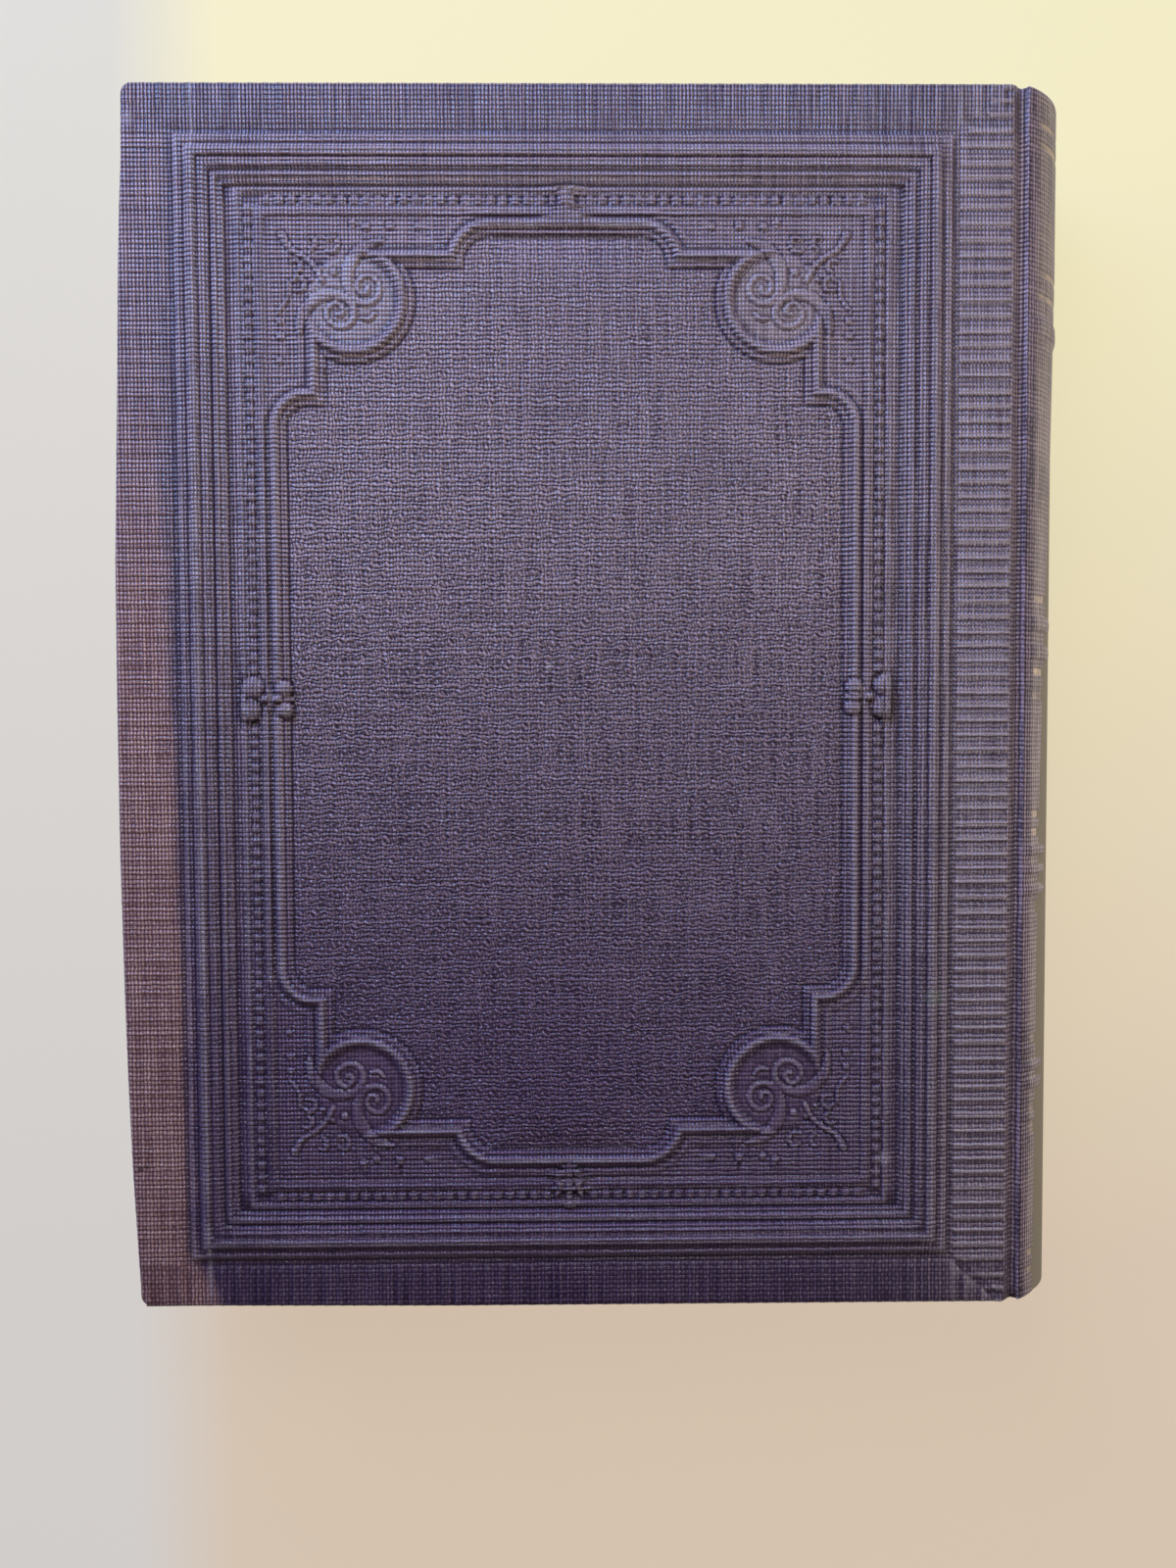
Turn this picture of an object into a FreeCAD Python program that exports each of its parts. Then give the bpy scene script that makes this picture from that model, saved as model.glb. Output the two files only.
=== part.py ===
"""Cloth-bound hardback of the late nineteenth century, lying closed on its front cover.

The book lies flat with +Z up, +Y towards the head of the page and +X towards the spine.
The origin is under the middle of the book, on the surface it lies on.
Sizes are in millimetres.
"""
import FreeCAD, Part
import math
import os

# Boards and the cloth over them
board_height = 250.0
board_width = 180.0
board_thickness = 2.4
cloth_thickness = 0.5
turn_in_width = 15.0
turn_in_depth = 0.4

# Pages and endpapers
block_thickness = 25.0
square = 3.5
fore_edge_hollow = 6.0
paper_thickness = 0.2
paper_margin = 4.0
cover_gap = 0.25

# Spine, from the cloth inwards
spine_rise = 14.0
shoulder_reach = 3.0
shoulder_drop = 0.6
inlay_thickness = 0.8
hollow_gap = 0.4
lining_thickness = 0.25
mull_thickness = 0.25
glue_thickness = 0.05
joint_gap = 0.3
groove_depth = 0.9
mull_margin = 12.0

# Sewing cords let into the back of the pages, and the two endbands
cord_count = 3
cord_width = 1.6
cord_depth = 1.4
cord_end_margin = 14.0
band_height = 2.2
band_depth = 1.6

# Low bands stamped across the spine, measured down from the head
spine_band_places = (51.0, 112.0, 158.0, 201.0)
spine_band_width = 10.0
spine_band_height = 0.3

# Ribbed margin of each cover
rib_pitch = 3.05
rib_amplitude = 0.18

# Picture-frame moulding of each cover
frame_width = 157.6
frame_height = 229.8
frame_shift = -1.1
moulding_width = 10.6
moulding_crest = 1.1
field_level = -0.1
board_ridge_height = 0.5
board_ridge_inset = 1.6

# Strips of beading inside the moulding
bead_width = 2.2
bead_height = 0.4
bead_column_x = 63.9
bead_row_y = 101.4
border_line_inset = 16.6
border_line_width = 0.7
side_border_extra = 1.8

# Raised rib of the inner panel, from the panel's edge outwards
rib_rise = 0.85
rib_ridge_offset = 2.8
rib_foot_offset = 4.8

# Outline of the inner panel, measured from its own middle, which sits above the frame's
panel_shift_y = 1.5
panel_top = 93.1
panel_top_half = 15.2
panel_top_corner = 5.2
corner_stretch_y = 86.8
scroll_x = 42.8
scroll_y = 78.9
scroll_radius = 12.2
side_short_x = 48.4
side_step_y = 57.8
side_long_x = 56.4
side_corner = 4.0

# Small ornaments
volute_radius = 3.3
volute_height = 0.35
boss_sides = 8
clasp_lobe_radius = 2.4
clasp_lobe_height = 0.9
finial_neck = 2.0
finial_flare = 3.8
finial_height = 0.8

# Heights worked out from the layers, above and below the middle of the book
fly_level = block_thickness / 2 + paper_thickness
inner_level = fly_level + cover_gap
board_level = inner_level + paper_thickness
cloth_level = board_level + board_thickness
margin_level = cloth_level + cloth_thickness
half_height = margin_level + moulding_crest

# Places along the width
book_width = board_width + spine_rise
fore_x = -book_width / 2
joint_x = fore_x + board_width
crown_x = fore_x + book_width
cover_x = fore_x + board_width / 2
back_x = joint_x + shoulder_reach
back_rise = crown_x - spine_band_height - back_x
shoulder_level = margin_level - shoulder_drop
back_radius = (shoulder_level**2 + back_rise**2) / (2 * back_rise)
back_centre_x = back_x + back_rise - back_radius

# Depth of each layer of the spine under the outside of its cloth
inlay_depth = cloth_thickness
hollow_depth = inlay_depth + inlay_thickness
lining_depth = hollow_depth + hollow_gap
mull_depth = lining_depth + lining_thickness + glue_thickness
pages_depth = mull_depth + mull_thickness + glue_thickness

V = FreeCAD.Vector


def polygon_prism(points, bottom, top):
    """Upright prism over a plan outline."""
    corners = [V(x, y, bottom) for x, y in points]
    wire = Part.makePolygon(corners + corners[:1])
    return Part.Face(wire).extrude(V(0, 0, top - bottom))


def box_between(x0, x1, y0, y1, z0, z1):
    return Part.makeBox(x1 - x0, y1 - y0, z1 - z0, V(x0, y0, z0))


def section_prism(steps, y0, y1):
    """Prism along Y over a closed section in X and Z. A step is a corner, or an arc's middle and end."""
    edges = []
    here = V(steps[0][0], y0, steps[0][1])
    start = here
    for step in steps[1:] + [steps[0]]:
        if isinstance(step[0], tuple):
            middle = V(step[0][0], y0, step[0][1])
            end = V(step[1][0], y0, step[1][1])
            edges.append(Part.Arc(here, middle, end).toShape())
            here = end
        else:
            end = V(step[0], y0, step[1])
            edges.append(Part.LineSegment(here, end).toShape())
            here = end
    assert here.isEqual(start, 1e-9)
    return Part.Face(Part.Wire(edges)).extrude(V(0, y1 - y0, 0))


def joined(solids):
    """One solid made of pieces that touch or overlap."""
    whole = solids[0].multiFuse(solids[1:])
    return whole.removeSplitter()


# Spine: every layer follows the same round back, set in by its depth


def shoulder_height(depth):
    """Height of the round back above the middle of the book, at the shoulders."""
    return math.sqrt((back_radius - depth)**2 - (back_x - back_centre_x)**2)


def back_wall(depth, y0, y1):
    """Solid behind the shoulders, bounded outside by the round back at this depth."""
    half = shoulder_height(depth)
    crown = back_centre_x + back_radius - depth
    return section_prism([(back_x, -half), ((crown, 0.0), (back_x, half))], y0, y1)


def back_layer(outer_depth, inner_depth, half_length):
    """Even skin round the back of the book, from shoulder to shoulder."""
    outer = back_wall(outer_depth, -half_length, half_length)
    inner = back_wall(inner_depth, -half_length - 1, half_length + 1)
    skin = outer.cut(inner)
    behind = box_between(back_x, crown_x + 1, -half_length - 2, half_length + 2, -half_height, half_height)
    return skin.common(behind)


def joint_strip(side, half_length):
    """Cloth pressed down into the joint between the spine and a cover."""
    edge = joint_x + joint_gap
    middle = (edge + back_x) / 2
    top = shoulder_level
    groove = shoulder_level - groove_depth
    outline = [
        (edge, top - groove_depth / 2),
        (middle, groove),
        (back_x, top),
        (back_x, top - cloth_thickness),
        (middle + cloth_thickness / 2, groove - cloth_thickness),
        (edge, top - groove_depth / 2 - cloth_thickness),
    ]
    strip = section_prism(outline, -half_length, half_length)
    if side < 0:
        strip = strip.mirror(V(0, 0, 0), V(0, 0, 1))
    return strip


def spine_band(y):
    """Low band across the spine, from shoulder to shoulder."""
    half = spine_band_width / 2
    outer = back_wall(-spine_band_height, y - half, y + half)
    inner = back_wall(inlay_depth / 2, y - half - 1, y + half + 1)
    behind = box_between(back_x, crown_x + 1, y - half - 2, y + half + 2, -half_height, half_height)
    return outer.cut(inner).common(behind)


def make_spine_cloth():
    half = board_height / 2
    parts = [back_layer(0.0, inlay_depth, half)]
    for side in (1, -1):
        parts.append(joint_strip(side, half))
    for end in (1, -1):
        low = min(end * half, end * (half - cloth_thickness))
        cap = back_wall(inlay_depth / 2, low, low + cloth_thickness)
        cap = cap.cut(back_wall(hollow_depth, low - 1, low + 2))
        behind = box_between(back_x, crown_x, low - 1, low + 2, -half_height, half_height)
        parts.append(cap.common(behind))
    for place in spine_band_places:
        parts.append(spine_band(half - place))
    return joined(parts)


def make_spine_inlay():
    return back_layer(inlay_depth, hollow_depth, board_height / 2 - cloth_thickness)


def block_section_prism(depth, half_length):
    """Pages seen from the head: hollow fore edge, flat sides, small shoulders and a round back."""
    half = block_thickness / 2
    page_fore = fore_x + square
    flank = joint_x + joint_gap
    top = shoulder_height(depth)
    outline = [
        (page_fore, -half),
        ((page_fore + fore_edge_hollow, 0.0), (page_fore, half)),
        (flank, half),
        (flank + shoulder_reach / 3, top),
        (back_x, top),
        (back_x, -top),
        (flank + shoulder_reach / 3, -top),
        (flank, -half),
    ]
    body = section_prism(outline, -half_length, half_length)
    return joined([body, back_wall(depth, -half_length, half_length)])


def cord_places():
    half = board_height / 2 - square - cord_end_margin
    step = 2 * half / (cord_count - 1)
    return [-half + k * step for k in range(cord_count)]


def cord_solid(y):
    """Sewing cord in its saw cut across the back, level with the folds of the pages."""
    outer = back_wall(pages_depth, y - cord_width / 2, y + cord_width / 2)
    inner = back_wall(pages_depth + cord_depth, y - cord_width, y + cord_width)
    behind = box_between(back_x, crown_x, y - 5, y + 5, -half_height, half_height)
    return outer.cut(inner).common(behind)


def make_pages():
    half = board_height / 2 - square
    block = block_section_prism(pages_depth, half)
    for y in cord_places():
        block = block.cut(cord_solid(y))
    return block


def make_flyleaf(side):
    half = board_height / 2 - square
    low = block_thickness / 2
    leaf = box_between(fore_x + square, joint_x + joint_gap / 2, -half, half, low, fly_level)
    if side < 0:
        leaf = leaf.mirror(V(0, 0, 0), V(0, 0, 1))
    return leaf


def make_endband(end):
    """Wound band that finishes the spine folds at the head or the tail."""
    start = board_height / 2 - square
    low = start if end > 0 else -start - band_height
    outer = back_wall(pages_depth, low, low + band_height)
    inner = back_wall(pages_depth + band_depth, low - 1, low + band_height + 1)
    behind = box_between(back_x, crown_x, low - 1, low + band_height + 1, -half_height, half_height)
    return outer.cut(inner).common(behind)


# Cover: one relief, worked out with the margin at height zero, used for both covers


def frame_corners(inset, side_extra=0.0):
    """Left, right, bottom and top of the frame's outline, set in by some distance."""
    half_w = frame_width / 2 - inset - side_extra
    half_h = frame_height / 2 - inset
    return (frame_shift - half_w, frame_shift + half_w, -half_h, half_h)


def mitred_plan(outer, inner, side):
    """Plan of one side of a frame between two rectangles, cut at the corners."""
    x0, x1, y0, y1 = outer
    u0, u1, v0, v1 = inner
    plans = {
        "head": [(x0, y1), (x1, y1), (u1, v1), (u0, v1)],
        "tail": [(x0, y0), (x1, y0), (u1, v0), (u0, v0)],
        "fore": [(x0, y0), (x0, y1), (u0, v1), (u0, v0)],
        "joint": [(x1, y0), (x1, y1), (u1, v1), (u1, v0)],
    }
    return plans[side]


def ribbed_margin(side):
    """One margin of the cover, with ribs that cross it from the board's edge to the frame."""
    outer = (-board_width / 2, board_width / 2, -board_height / 2, board_height / 2)
    inner = frame_corners(0.0)
    plan = polygon_prism(mitred_plan(outer, inner, side), -cloth_thickness, rib_amplitude + 0.1)
    along_x = side in ("head", "tail")
    length = board_width if along_x else board_height
    count = int(length / rib_pitch)
    start = -count * rib_pitch / 2
    ridge = [(-length / 2, -cloth_thickness), (-length / 2, -rib_amplitude)]
    for k in range(count):
        ridge.append((start + k * rib_pitch, -rib_amplitude))
        ridge.append((start + (k + 0.5) * rib_pitch, rib_amplitude))
    ridge.append((start + count * rib_pitch, -rib_amplitude))
    ridge.append((length / 2, -rib_amplitude))
    ridge.append((length / 2, -cloth_thickness))
    if along_x:
        corners = [V(t, -board_height / 2, z) for t, z in ridge]
        sweep = V(0, board_height, 0)
    else:
        corners = [V(-board_width / 2, t, z) for t, z in ridge]
        sweep = V(board_width, 0, 0)
    sheet = Part.Face(Part.makePolygon(corners + corners[:1])).extrude(sweep)
    return sheet.common(plan)


def moulding_section():
    """Frame moulding from its outer edge inwards, over the ridge pressed up in the board."""
    width = moulding_width
    crest = moulding_crest
    ridge_in = board_ridge_inset
    under = -cloth_thickness
    over = under + board_ridge_height
    return [
        (0.0, under),
        (0.0, -rib_amplitude),
        (0.4, -rib_amplitude),
        ((1.6, 0.45), (2.8, 0.1)),
        (3.4, 0.85),
        (4.2, crest),
        (4.8, crest),
        (5.1, 0.8),
        ((6.6, 0.75), (7.5, 0.42)),
        ((8.5, 0.6), (9.6, 0.15)),
        (10.1, field_level - 0.15),
        (width, field_level),
        (width, under),
        (width - ridge_in, under),
        (width - ridge_in - board_ridge_height, over),
        (ridge_in + board_ridge_height, over),
        (ridge_in, under),
    ]


def board_ridge_section():
    """Ridge that the press leaves in the board under the frame moulding."""
    width = moulding_width
    return [
        (board_ridge_inset, -cloth_thickness - 0.2),
        (board_ridge_inset, -cloth_thickness),
        (board_ridge_inset + board_ridge_height, -cloth_thickness + board_ridge_height),
        (width - board_ridge_inset - board_ridge_height, -cloth_thickness + board_ridge_height),
        (width - board_ridge_inset, -cloth_thickness),
        (width - board_ridge_inset, -cloth_thickness - 0.2),
    ]


def framed(section):
    """Four sides of the frame with this section, mitred at the corners and joined."""
    x0, x1, y0, y1 = frame_corners(0.0)
    reach = max(frame_width, frame_height)
    straight = section_prism(section, -reach, reach)
    turns = {"fore": (0, x0, 0), "joint": (180, x1, 0), "head": (-90, 0, y1), "tail": (90, 0, y0)}
    sides = []
    for side, (angle, x, y) in turns.items():
        bar = straight.copy()
        bar.rotate(V(0, 0, 0), V(0, 0, 1), angle)
        bar.translate(V(x, y, 0))
        plan = mitred_plan(frame_corners(0.0), frame_corners(moulding_width), side)
        sides.append(bar.common(polygon_prism(plan, -3.0, 3.0)))
    return sides


def bead_strip(start, end):
    """Rounded strip that carries a row of beads, between two points."""
    half = bead_width / 2
    base = field_level - 0.15
    crest = field_level + bead_height
    section = [(-half, base), (-half, field_level), (-half / 2, crest), (half / 2, crest), (half, field_level),
               (half, base)]
    return straight_rib(section, start, end)


def all_bead_strips():
    """Four strips of beading, broken by the finials and by the clasps."""
    finial_gap = finial_flare + 0.5
    clasp_gap = 2 * clasp_lobe_radius
    row_end = bead_column_x - bead_width
    strips = []
    for sign in (1, -1):
        y = sign * bead_row_y
        strips.append(bead_strip((finial_gap, y), (row_end, y)))
        strips.append(bead_strip((-row_end, y), (-finial_gap, y)))
        x = sign * bead_column_x
        strips.append(bead_strip((x, panel_shift_y + clasp_gap), (x, bead_row_y)))
        strips.append(bead_strip((x, -bead_row_y), (x, panel_shift_y - clasp_gap)))
    for strip in strips:
        strip.translate(V(frame_shift, 0, 0))
    return strips


def border_lines():
    """Thin raised line round the inner field."""
    outer = frame_corners(border_line_inset, side_border_extra)
    inner = frame_corners(border_line_inset + border_line_width, side_border_extra)
    sides = []
    for side in ("head", "tail", "fore", "joint"):
        plan = mitred_plan(outer, inner, side)
        sides.append(polygon_prism(plan, field_level - 0.1, field_level + 0.25))
    return sides


def panel_rib_section():
    """Section of the panel's rib: offset from the panel's edge, and height."""
    base = field_level - 0.2
    return [
        (0.0, base),
        (rib_ridge_offset, rib_rise),
        (rib_foot_offset, base),
    ]


def boss(x, y, radius, height):
    """Small faceted boss, half as wide on top."""
    base = field_level - 0.2
    rings = []
    for size, z in ((radius, base), (radius / 2, height)):
        ring = []
        for k in range(boss_sides):
            turn = 2 * math.pi * (k + 0.5) / boss_sides
            ring.append(V(x + size * math.cos(turn), y + size * math.sin(turn), z))
        rings.append(ring)
    low, high = rings
    faces = [Part.Face(Part.makePolygon(ring + ring[:1])) for ring in rings]
    for k in range(boss_sides):
        n = (k + 1) % boss_sides
        faces.append(Part.Face(Part.makePolygon([low[k], low[n], high[n], high[k], low[k]])))
    solid = Part.Solid(Part.Shell(faces))
    if solid.Volume < 0:
        solid.reverse()
    return solid


def straight_rib(section, start, end):
    """Rib from start to end, with its section to the left of the way."""
    way = V(end[0] - start[0], end[1] - start[1], 0)
    left = V(-way.y, way.x, 0)
    left.normalize()
    corners = [V(start[0], start[1], z) + left * offset for offset, z in section]
    return Part.Face(Part.makePolygon(corners + corners[:1])).extrude(way)


def round_rib(section, centre, radius, outward, first, last):
    """Rib along an arc. Outward is 1 where the section grows away from the centre, -1 towards it."""
    corners = [V(radius + outward * offset, 0, z) for offset, z in section]
    face = Part.Face(Part.makePolygon(corners + corners[:1]))
    face.rotate(V(0, 0, 0), V(0, 0, 1), first)
    arc = face.revolve(V(0, 0, 0), V(0, 0, 1), last - first)
    arc.translate(V(centre[0], centre[1], 0))
    return arc


def panel_rib_quarter():
    """Rib round one quarter of the inner panel, with the corner scroll, right of and above the middle."""
    section = panel_rib_section()
    top_right = (panel_top_half, panel_top - panel_top_corner)
    step_x = panel_top_half + panel_top_corner
    side_centre = (side_long_x - side_corner, side_step_y - side_corner)
    ribs = [
        straight_rib(section, (0.0, panel_top), (panel_top_half, panel_top)),
        round_rib(section, top_right, panel_top_corner, 1, 0, 90),
        straight_rib(section, (step_x, corner_stretch_y), (scroll_x - 1.5, corner_stretch_y)),
        round_rib(section, (scroll_x, scroll_y), scroll_radius, -1, 100, 350),
        straight_rib(section, (side_short_x, scroll_y - 1.0), (side_short_x, side_step_y)),
        straight_rib(section, (side_short_x, side_step_y), (side_centre[0], side_step_y)),
        round_rib(section, side_centre, side_corner, 1, 0, 90),
        straight_rib(section, (side_long_x, side_centre[1]), (side_long_x, 0.0)),
    ]
    ribs.append(boss(scroll_x - 2.8, scroll_y + 3.6, volute_radius, volute_height))
    ribs.append(boss(scroll_x + 2.7, scroll_y - 1.2, volute_radius, volute_height))
    return ribs


def clasp():
    """Small knot of four lobes that ties the panel's rib to the row of beads, right of the middle."""
    base = field_level - 0.2
    outer_x = bead_column_x
    inner_x = side_long_x + rib_ridge_offset - 0.8
    reach = clasp_lobe_radius
    lobes = []
    for x, size in ((outer_x, reach), (inner_x, reach * 0.8)):
        for side in (1, -1):
            y = side * size * 0.95
            lobes.append(boss(x, y, size, clasp_lobe_height))
    lobes.append(box_between(inner_x, outer_x, -0.9, 0.9, base, clasp_lobe_height * 0.8))
    return lobes


def finial(end):
    """Narrow neck that flares into the panel's rib and into the frame, at the head or at the tail."""
    low = panel_top + end * panel_shift_y + rib_ridge_offset
    high = frame_height / 2 - moulding_width + 0.3
    middle = (low + high) / 2 + 0.5
    waist = finial_neck / 2
    right = [(finial_flare, low), (waist + 0.4, middle - 1.5), (waist, middle), (waist + 0.3, middle + 1.2),
             (finial_flare * 0.8, high)]
    outline = right + [(-x, y) for x, y in reversed(right)]
    corners = [V(x, y, field_level - 0.2) for x, y in outline]
    face = Part.Face(Part.makePolygon(corners + corners[:1]))
    neck = face.extrude(V(0, 0, finial_height))
    return neck if end > 0 else neck.mirror(V(0, 0, 0), V(0, 1, 0))


def in_four_quarters(solids):
    """The same pieces in all four quarters, mirrored about the middle of the design."""
    halves = []
    for solid in solids:
        halves.append(solid)
        halves.append(solid.mirror(V(0, 0, 0), V(1, 0, 0)))
    quarters = []
    for solid in halves:
        quarters.append(solid)
        quarters.append(solid.mirror(V(0, 0, 0), V(0, 1, 0)))
    return quarters


def inner_field():
    """Field inside the frame, with the panel's rib and the ornaments on it."""
    x0, x1, y0, y1 = frame_corners(moulding_width)
    plate = box_between(x0, x1, y0, y1, -cloth_thickness, field_level)
    ornaments = in_four_quarters(panel_rib_quarter())
    for solid in clasp():
        ornaments.append(solid)
        ornaments.append(solid.mirror(V(0, 0, 0), V(1, 0, 0)))
    for solid in ornaments:
        solid.translate(V(frame_shift, panel_shift_y, 0))
    for end in (1, -1):
        neck = finial(end)
        neck.translate(V(frame_shift, 0, 0))
        ornaments.append(neck)
    return joined([plate] + ornaments + border_lines() + all_bead_strips())


def cover_relief():
    """Outer face of a cover's cloth, from its underside up."""
    margins = [ribbed_margin(side) for side in ("head", "tail", "fore", "joint")]
    return joined(margins + framed(moulding_section()) + [inner_field()])


def cloth_turn_ins():
    """Cloth down the three free edges of the board and turned in onto its inner face."""
    x0 = -board_width / 2
    x1 = board_width / 2
    half = board_height / 2
    top = -cloth_thickness
    bottom = -cloth_thickness - board_thickness
    wall = box_between(x0, x1, -half, half, bottom, top)
    board = box_between(x0 + cloth_thickness, x1 + 1, -half + cloth_thickness, half - cloth_thickness,
                        bottom + turn_in_depth, top + 1)
    opening = box_between(x0 + turn_in_width, x1 + 1, -half + turn_in_width, half - turn_in_width,
                          bottom - 1, bottom + turn_in_depth + 1)
    return wall.cut(board).cut(opening)


def cover_board():
    """Millboard with a rebate pressed in by the turn-ins and a ridge raised under the frame."""
    x0 = -board_width / 2 + cloth_thickness
    x1 = board_width / 2
    half = board_height / 2 - cloth_thickness
    top = -cloth_thickness
    bottom = -cloth_thickness - board_thickness
    plate = box_between(x0, x1, -half, half, bottom + turn_in_depth, top)
    boss = box_between(-board_width / 2 + turn_in_width, x1, -board_height / 2 + turn_in_width,
                       board_height / 2 - turn_in_width, bottom, bottom + turn_in_depth)
    return joined([plate, boss] + framed(board_ridge_section()))


def cover_pastedown():
    """Endpaper pasted to the inner face of the board, over the turn-ins."""
    x0 = -board_width / 2 + paper_margin
    x1 = board_width / 2
    half = board_height / 2 - paper_margin
    top = -cloth_thickness - board_thickness
    return box_between(x0, x1, -half, half, top - paper_thickness, top)


def placed_cover_piece(piece, side):
    """Move a piece from the relief's own frame to the upper cover, or mirror it to the lower one."""
    placed = piece.copy()
    placed.translate(V(cover_x, 0, margin_level))
    if side < 0:
        placed = placed.mirror(V(0, 0, 0), V(0, 0, 1))
    return placed


def build():
    relief = cover_relief()
    cover_cloth = joined([relief, cloth_turn_ins()])
    board = cover_board()
    pastedown = cover_pastedown()
    half_back = board_height / 2 - square - mull_margin
    nodes = {
        "text_block": make_pages(),
        "sewing_cords": Part.makeCompound([cord_solid(y) for y in cord_places()]),
        "spine_mull": back_layer(mull_depth, mull_depth + mull_thickness, half_back),
        "spine_lining": back_layer(lining_depth, lining_depth + lining_thickness, board_height / 2 - square),
        "head_band": make_endband(1),
        "tail_band": make_endband(-1),
        "spine_inlay": make_spine_inlay(),
        "spine_cloth": make_spine_cloth(),
    }
    for name, side in (("rear", 1), ("front", -1)):
        nodes[name + "_flyleaf"] = make_flyleaf(side)
        nodes[name + "_pastedown"] = placed_cover_piece(pastedown, side)
        nodes[name + "_board"] = placed_cover_piece(board, side)
        nodes[name + "_cover_cloth"] = placed_cover_piece(cover_cloth, side)
    return nodes


def write(nodes):
    os.makedirs("parts", exist_ok=True)
    for name, shape in nodes.items():
        shape.translate(V(0, 0, half_height))
        shape.exportStep("parts/" + name + ".step")
        box = shape.BoundBox
        print(name, shape.isValid(), len(shape.Solids), round(shape.Volume, 1),
              [round(v, 2) for v in (box.XMin, box.XMax, box.YMin, box.YMax, box.ZMin, box.ZMax)])


write(build())
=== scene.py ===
"""Looks of the cloth-bound hardback, in the frame of the CAD model.

All lengths in this script are in millimetres until a mesh is made.
The relief is drawn on the outer face of a cover, with the middle of the board at zero.
"""
import math

import bmesh
import bpy
import numpy as np
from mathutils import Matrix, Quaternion, Vector
from mathutils.geometry import delaunay_2d_cdt


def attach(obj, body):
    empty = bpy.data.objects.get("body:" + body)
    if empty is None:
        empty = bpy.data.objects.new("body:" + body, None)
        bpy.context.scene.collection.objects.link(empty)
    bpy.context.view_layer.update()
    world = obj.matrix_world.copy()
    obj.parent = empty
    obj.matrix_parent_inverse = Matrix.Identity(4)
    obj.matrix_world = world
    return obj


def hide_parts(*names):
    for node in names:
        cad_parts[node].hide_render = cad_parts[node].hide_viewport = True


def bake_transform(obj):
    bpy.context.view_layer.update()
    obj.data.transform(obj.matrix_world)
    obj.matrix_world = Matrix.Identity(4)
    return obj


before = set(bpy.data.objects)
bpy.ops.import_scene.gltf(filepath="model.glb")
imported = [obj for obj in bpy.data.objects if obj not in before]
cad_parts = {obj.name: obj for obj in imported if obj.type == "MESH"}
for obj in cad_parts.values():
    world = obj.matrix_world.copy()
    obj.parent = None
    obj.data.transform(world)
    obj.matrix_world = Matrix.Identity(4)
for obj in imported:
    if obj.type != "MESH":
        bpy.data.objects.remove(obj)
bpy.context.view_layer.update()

# Camera, measured from the photo
camera_place = (-6.72, -7.31, 265.73)
camera_turn = (2.118, 0.689, 0.28)
camera_lens = 25.99

# Boards and their place in the book
board_width = 180.0
board_height = 250.5
fore_corner = 2.2
joint_corner = 0.6
cover_middle_x = -7.0
margin_level = 33.2
book_thickness = 34.3
book_middle = book_thickness / 2
cover_depth = 2.9
edge_round = 0.6

# Frame moulding, with a flat added at the two sides between these insets
frame_left = -79.9
frame_right = 77.7
frame_half_height = 114.9
frame_middle_y = 0.25
design_x = -1.1
side_flat_start = 10.4
side_flat_width = 1.8
rib_pitch = 3.05

# Heights across the frame, by distance in from its outer edge
frame_section = (
    (-0.7, -0.2), (0.0, -0.14), (0.55, 0.36), (0.85, 0.48), (1.85, 0.44), (2.15, 0.34), (2.6, 0.72),
    (3.1, 1.02), (3.5, 1.12), (4.5, 1.1), (4.75, 0.82), (5.0, 0.66), (5.3, 0.84), (5.9, 0.86), (6.6, 0.64),
    (7.1, 0.42), (7.35, 0.14), (7.6, 0.2), (7.9, 0.5), (8.3, 0.56), (8.8, 0.4), (9.05, 0.12), (9.3, 0.14),
    (9.6, 0.26), (9.95, 0.1), (10.2, -0.34), (10.4, -0.36), (10.65, -0.06), (10.95, 0.1), (11.4, 0.1),
    (11.9, -0.2), (12.1, -0.28), (14.2, -0.28), (14.5, 0.08), (16.1, 0.12), (16.4, -0.16), (16.75, -0.1),
)

# Rib round the panel: heights above the field, by distance out from the panel's edge
rib_rise = (
    (-0.5, 0.0), (-0.05, -0.22), (0.25, -0.18), (0.5, 0.15), (0.85, 0.27), (1.25, 0.25), (1.6, 0.18),
    (1.95, 0.6), (2.35, 0.84), (2.75, 0.88),
)
rib_fall = (
    (2.75, 0.88), (3.0, 0.74), (3.5, 0.38), (4.1, 0.06), (4.35, 0.05), (4.6, 0.2), (5.1, 0.26), (5.6, 0.2),
    (5.85, 0.0),
)
scroll_fall = ((2.75, 0.88), (3.1, 0.74), (3.7, 0.38), (4.3, 0.1), (4.8, 0.1), (6.0, 0.16), (12.9, 0.26))
field_level = -0.1

# Outline of the panel in the quarter right of and above its own middle
panel_middle_y = 1.5
panel_top = 93.1
panel_top_half = 15.2
panel_top_corner = 5.2
step_y = 86.8
scroll = (43.1, 80.6)
scroll_radius = 12.9
short_x = 48.4
side_step_y = 59.3
long_x = 56.4
side_corner = 4.0

# Rows of beads
bead_pitch = 2.5
bead_radius = 1.15
bead_height = 0.46
bead_column = 63.9
bead_row = 101.7
gap_at_clasp = 5.1
gap_at_neck = 3.0

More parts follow.
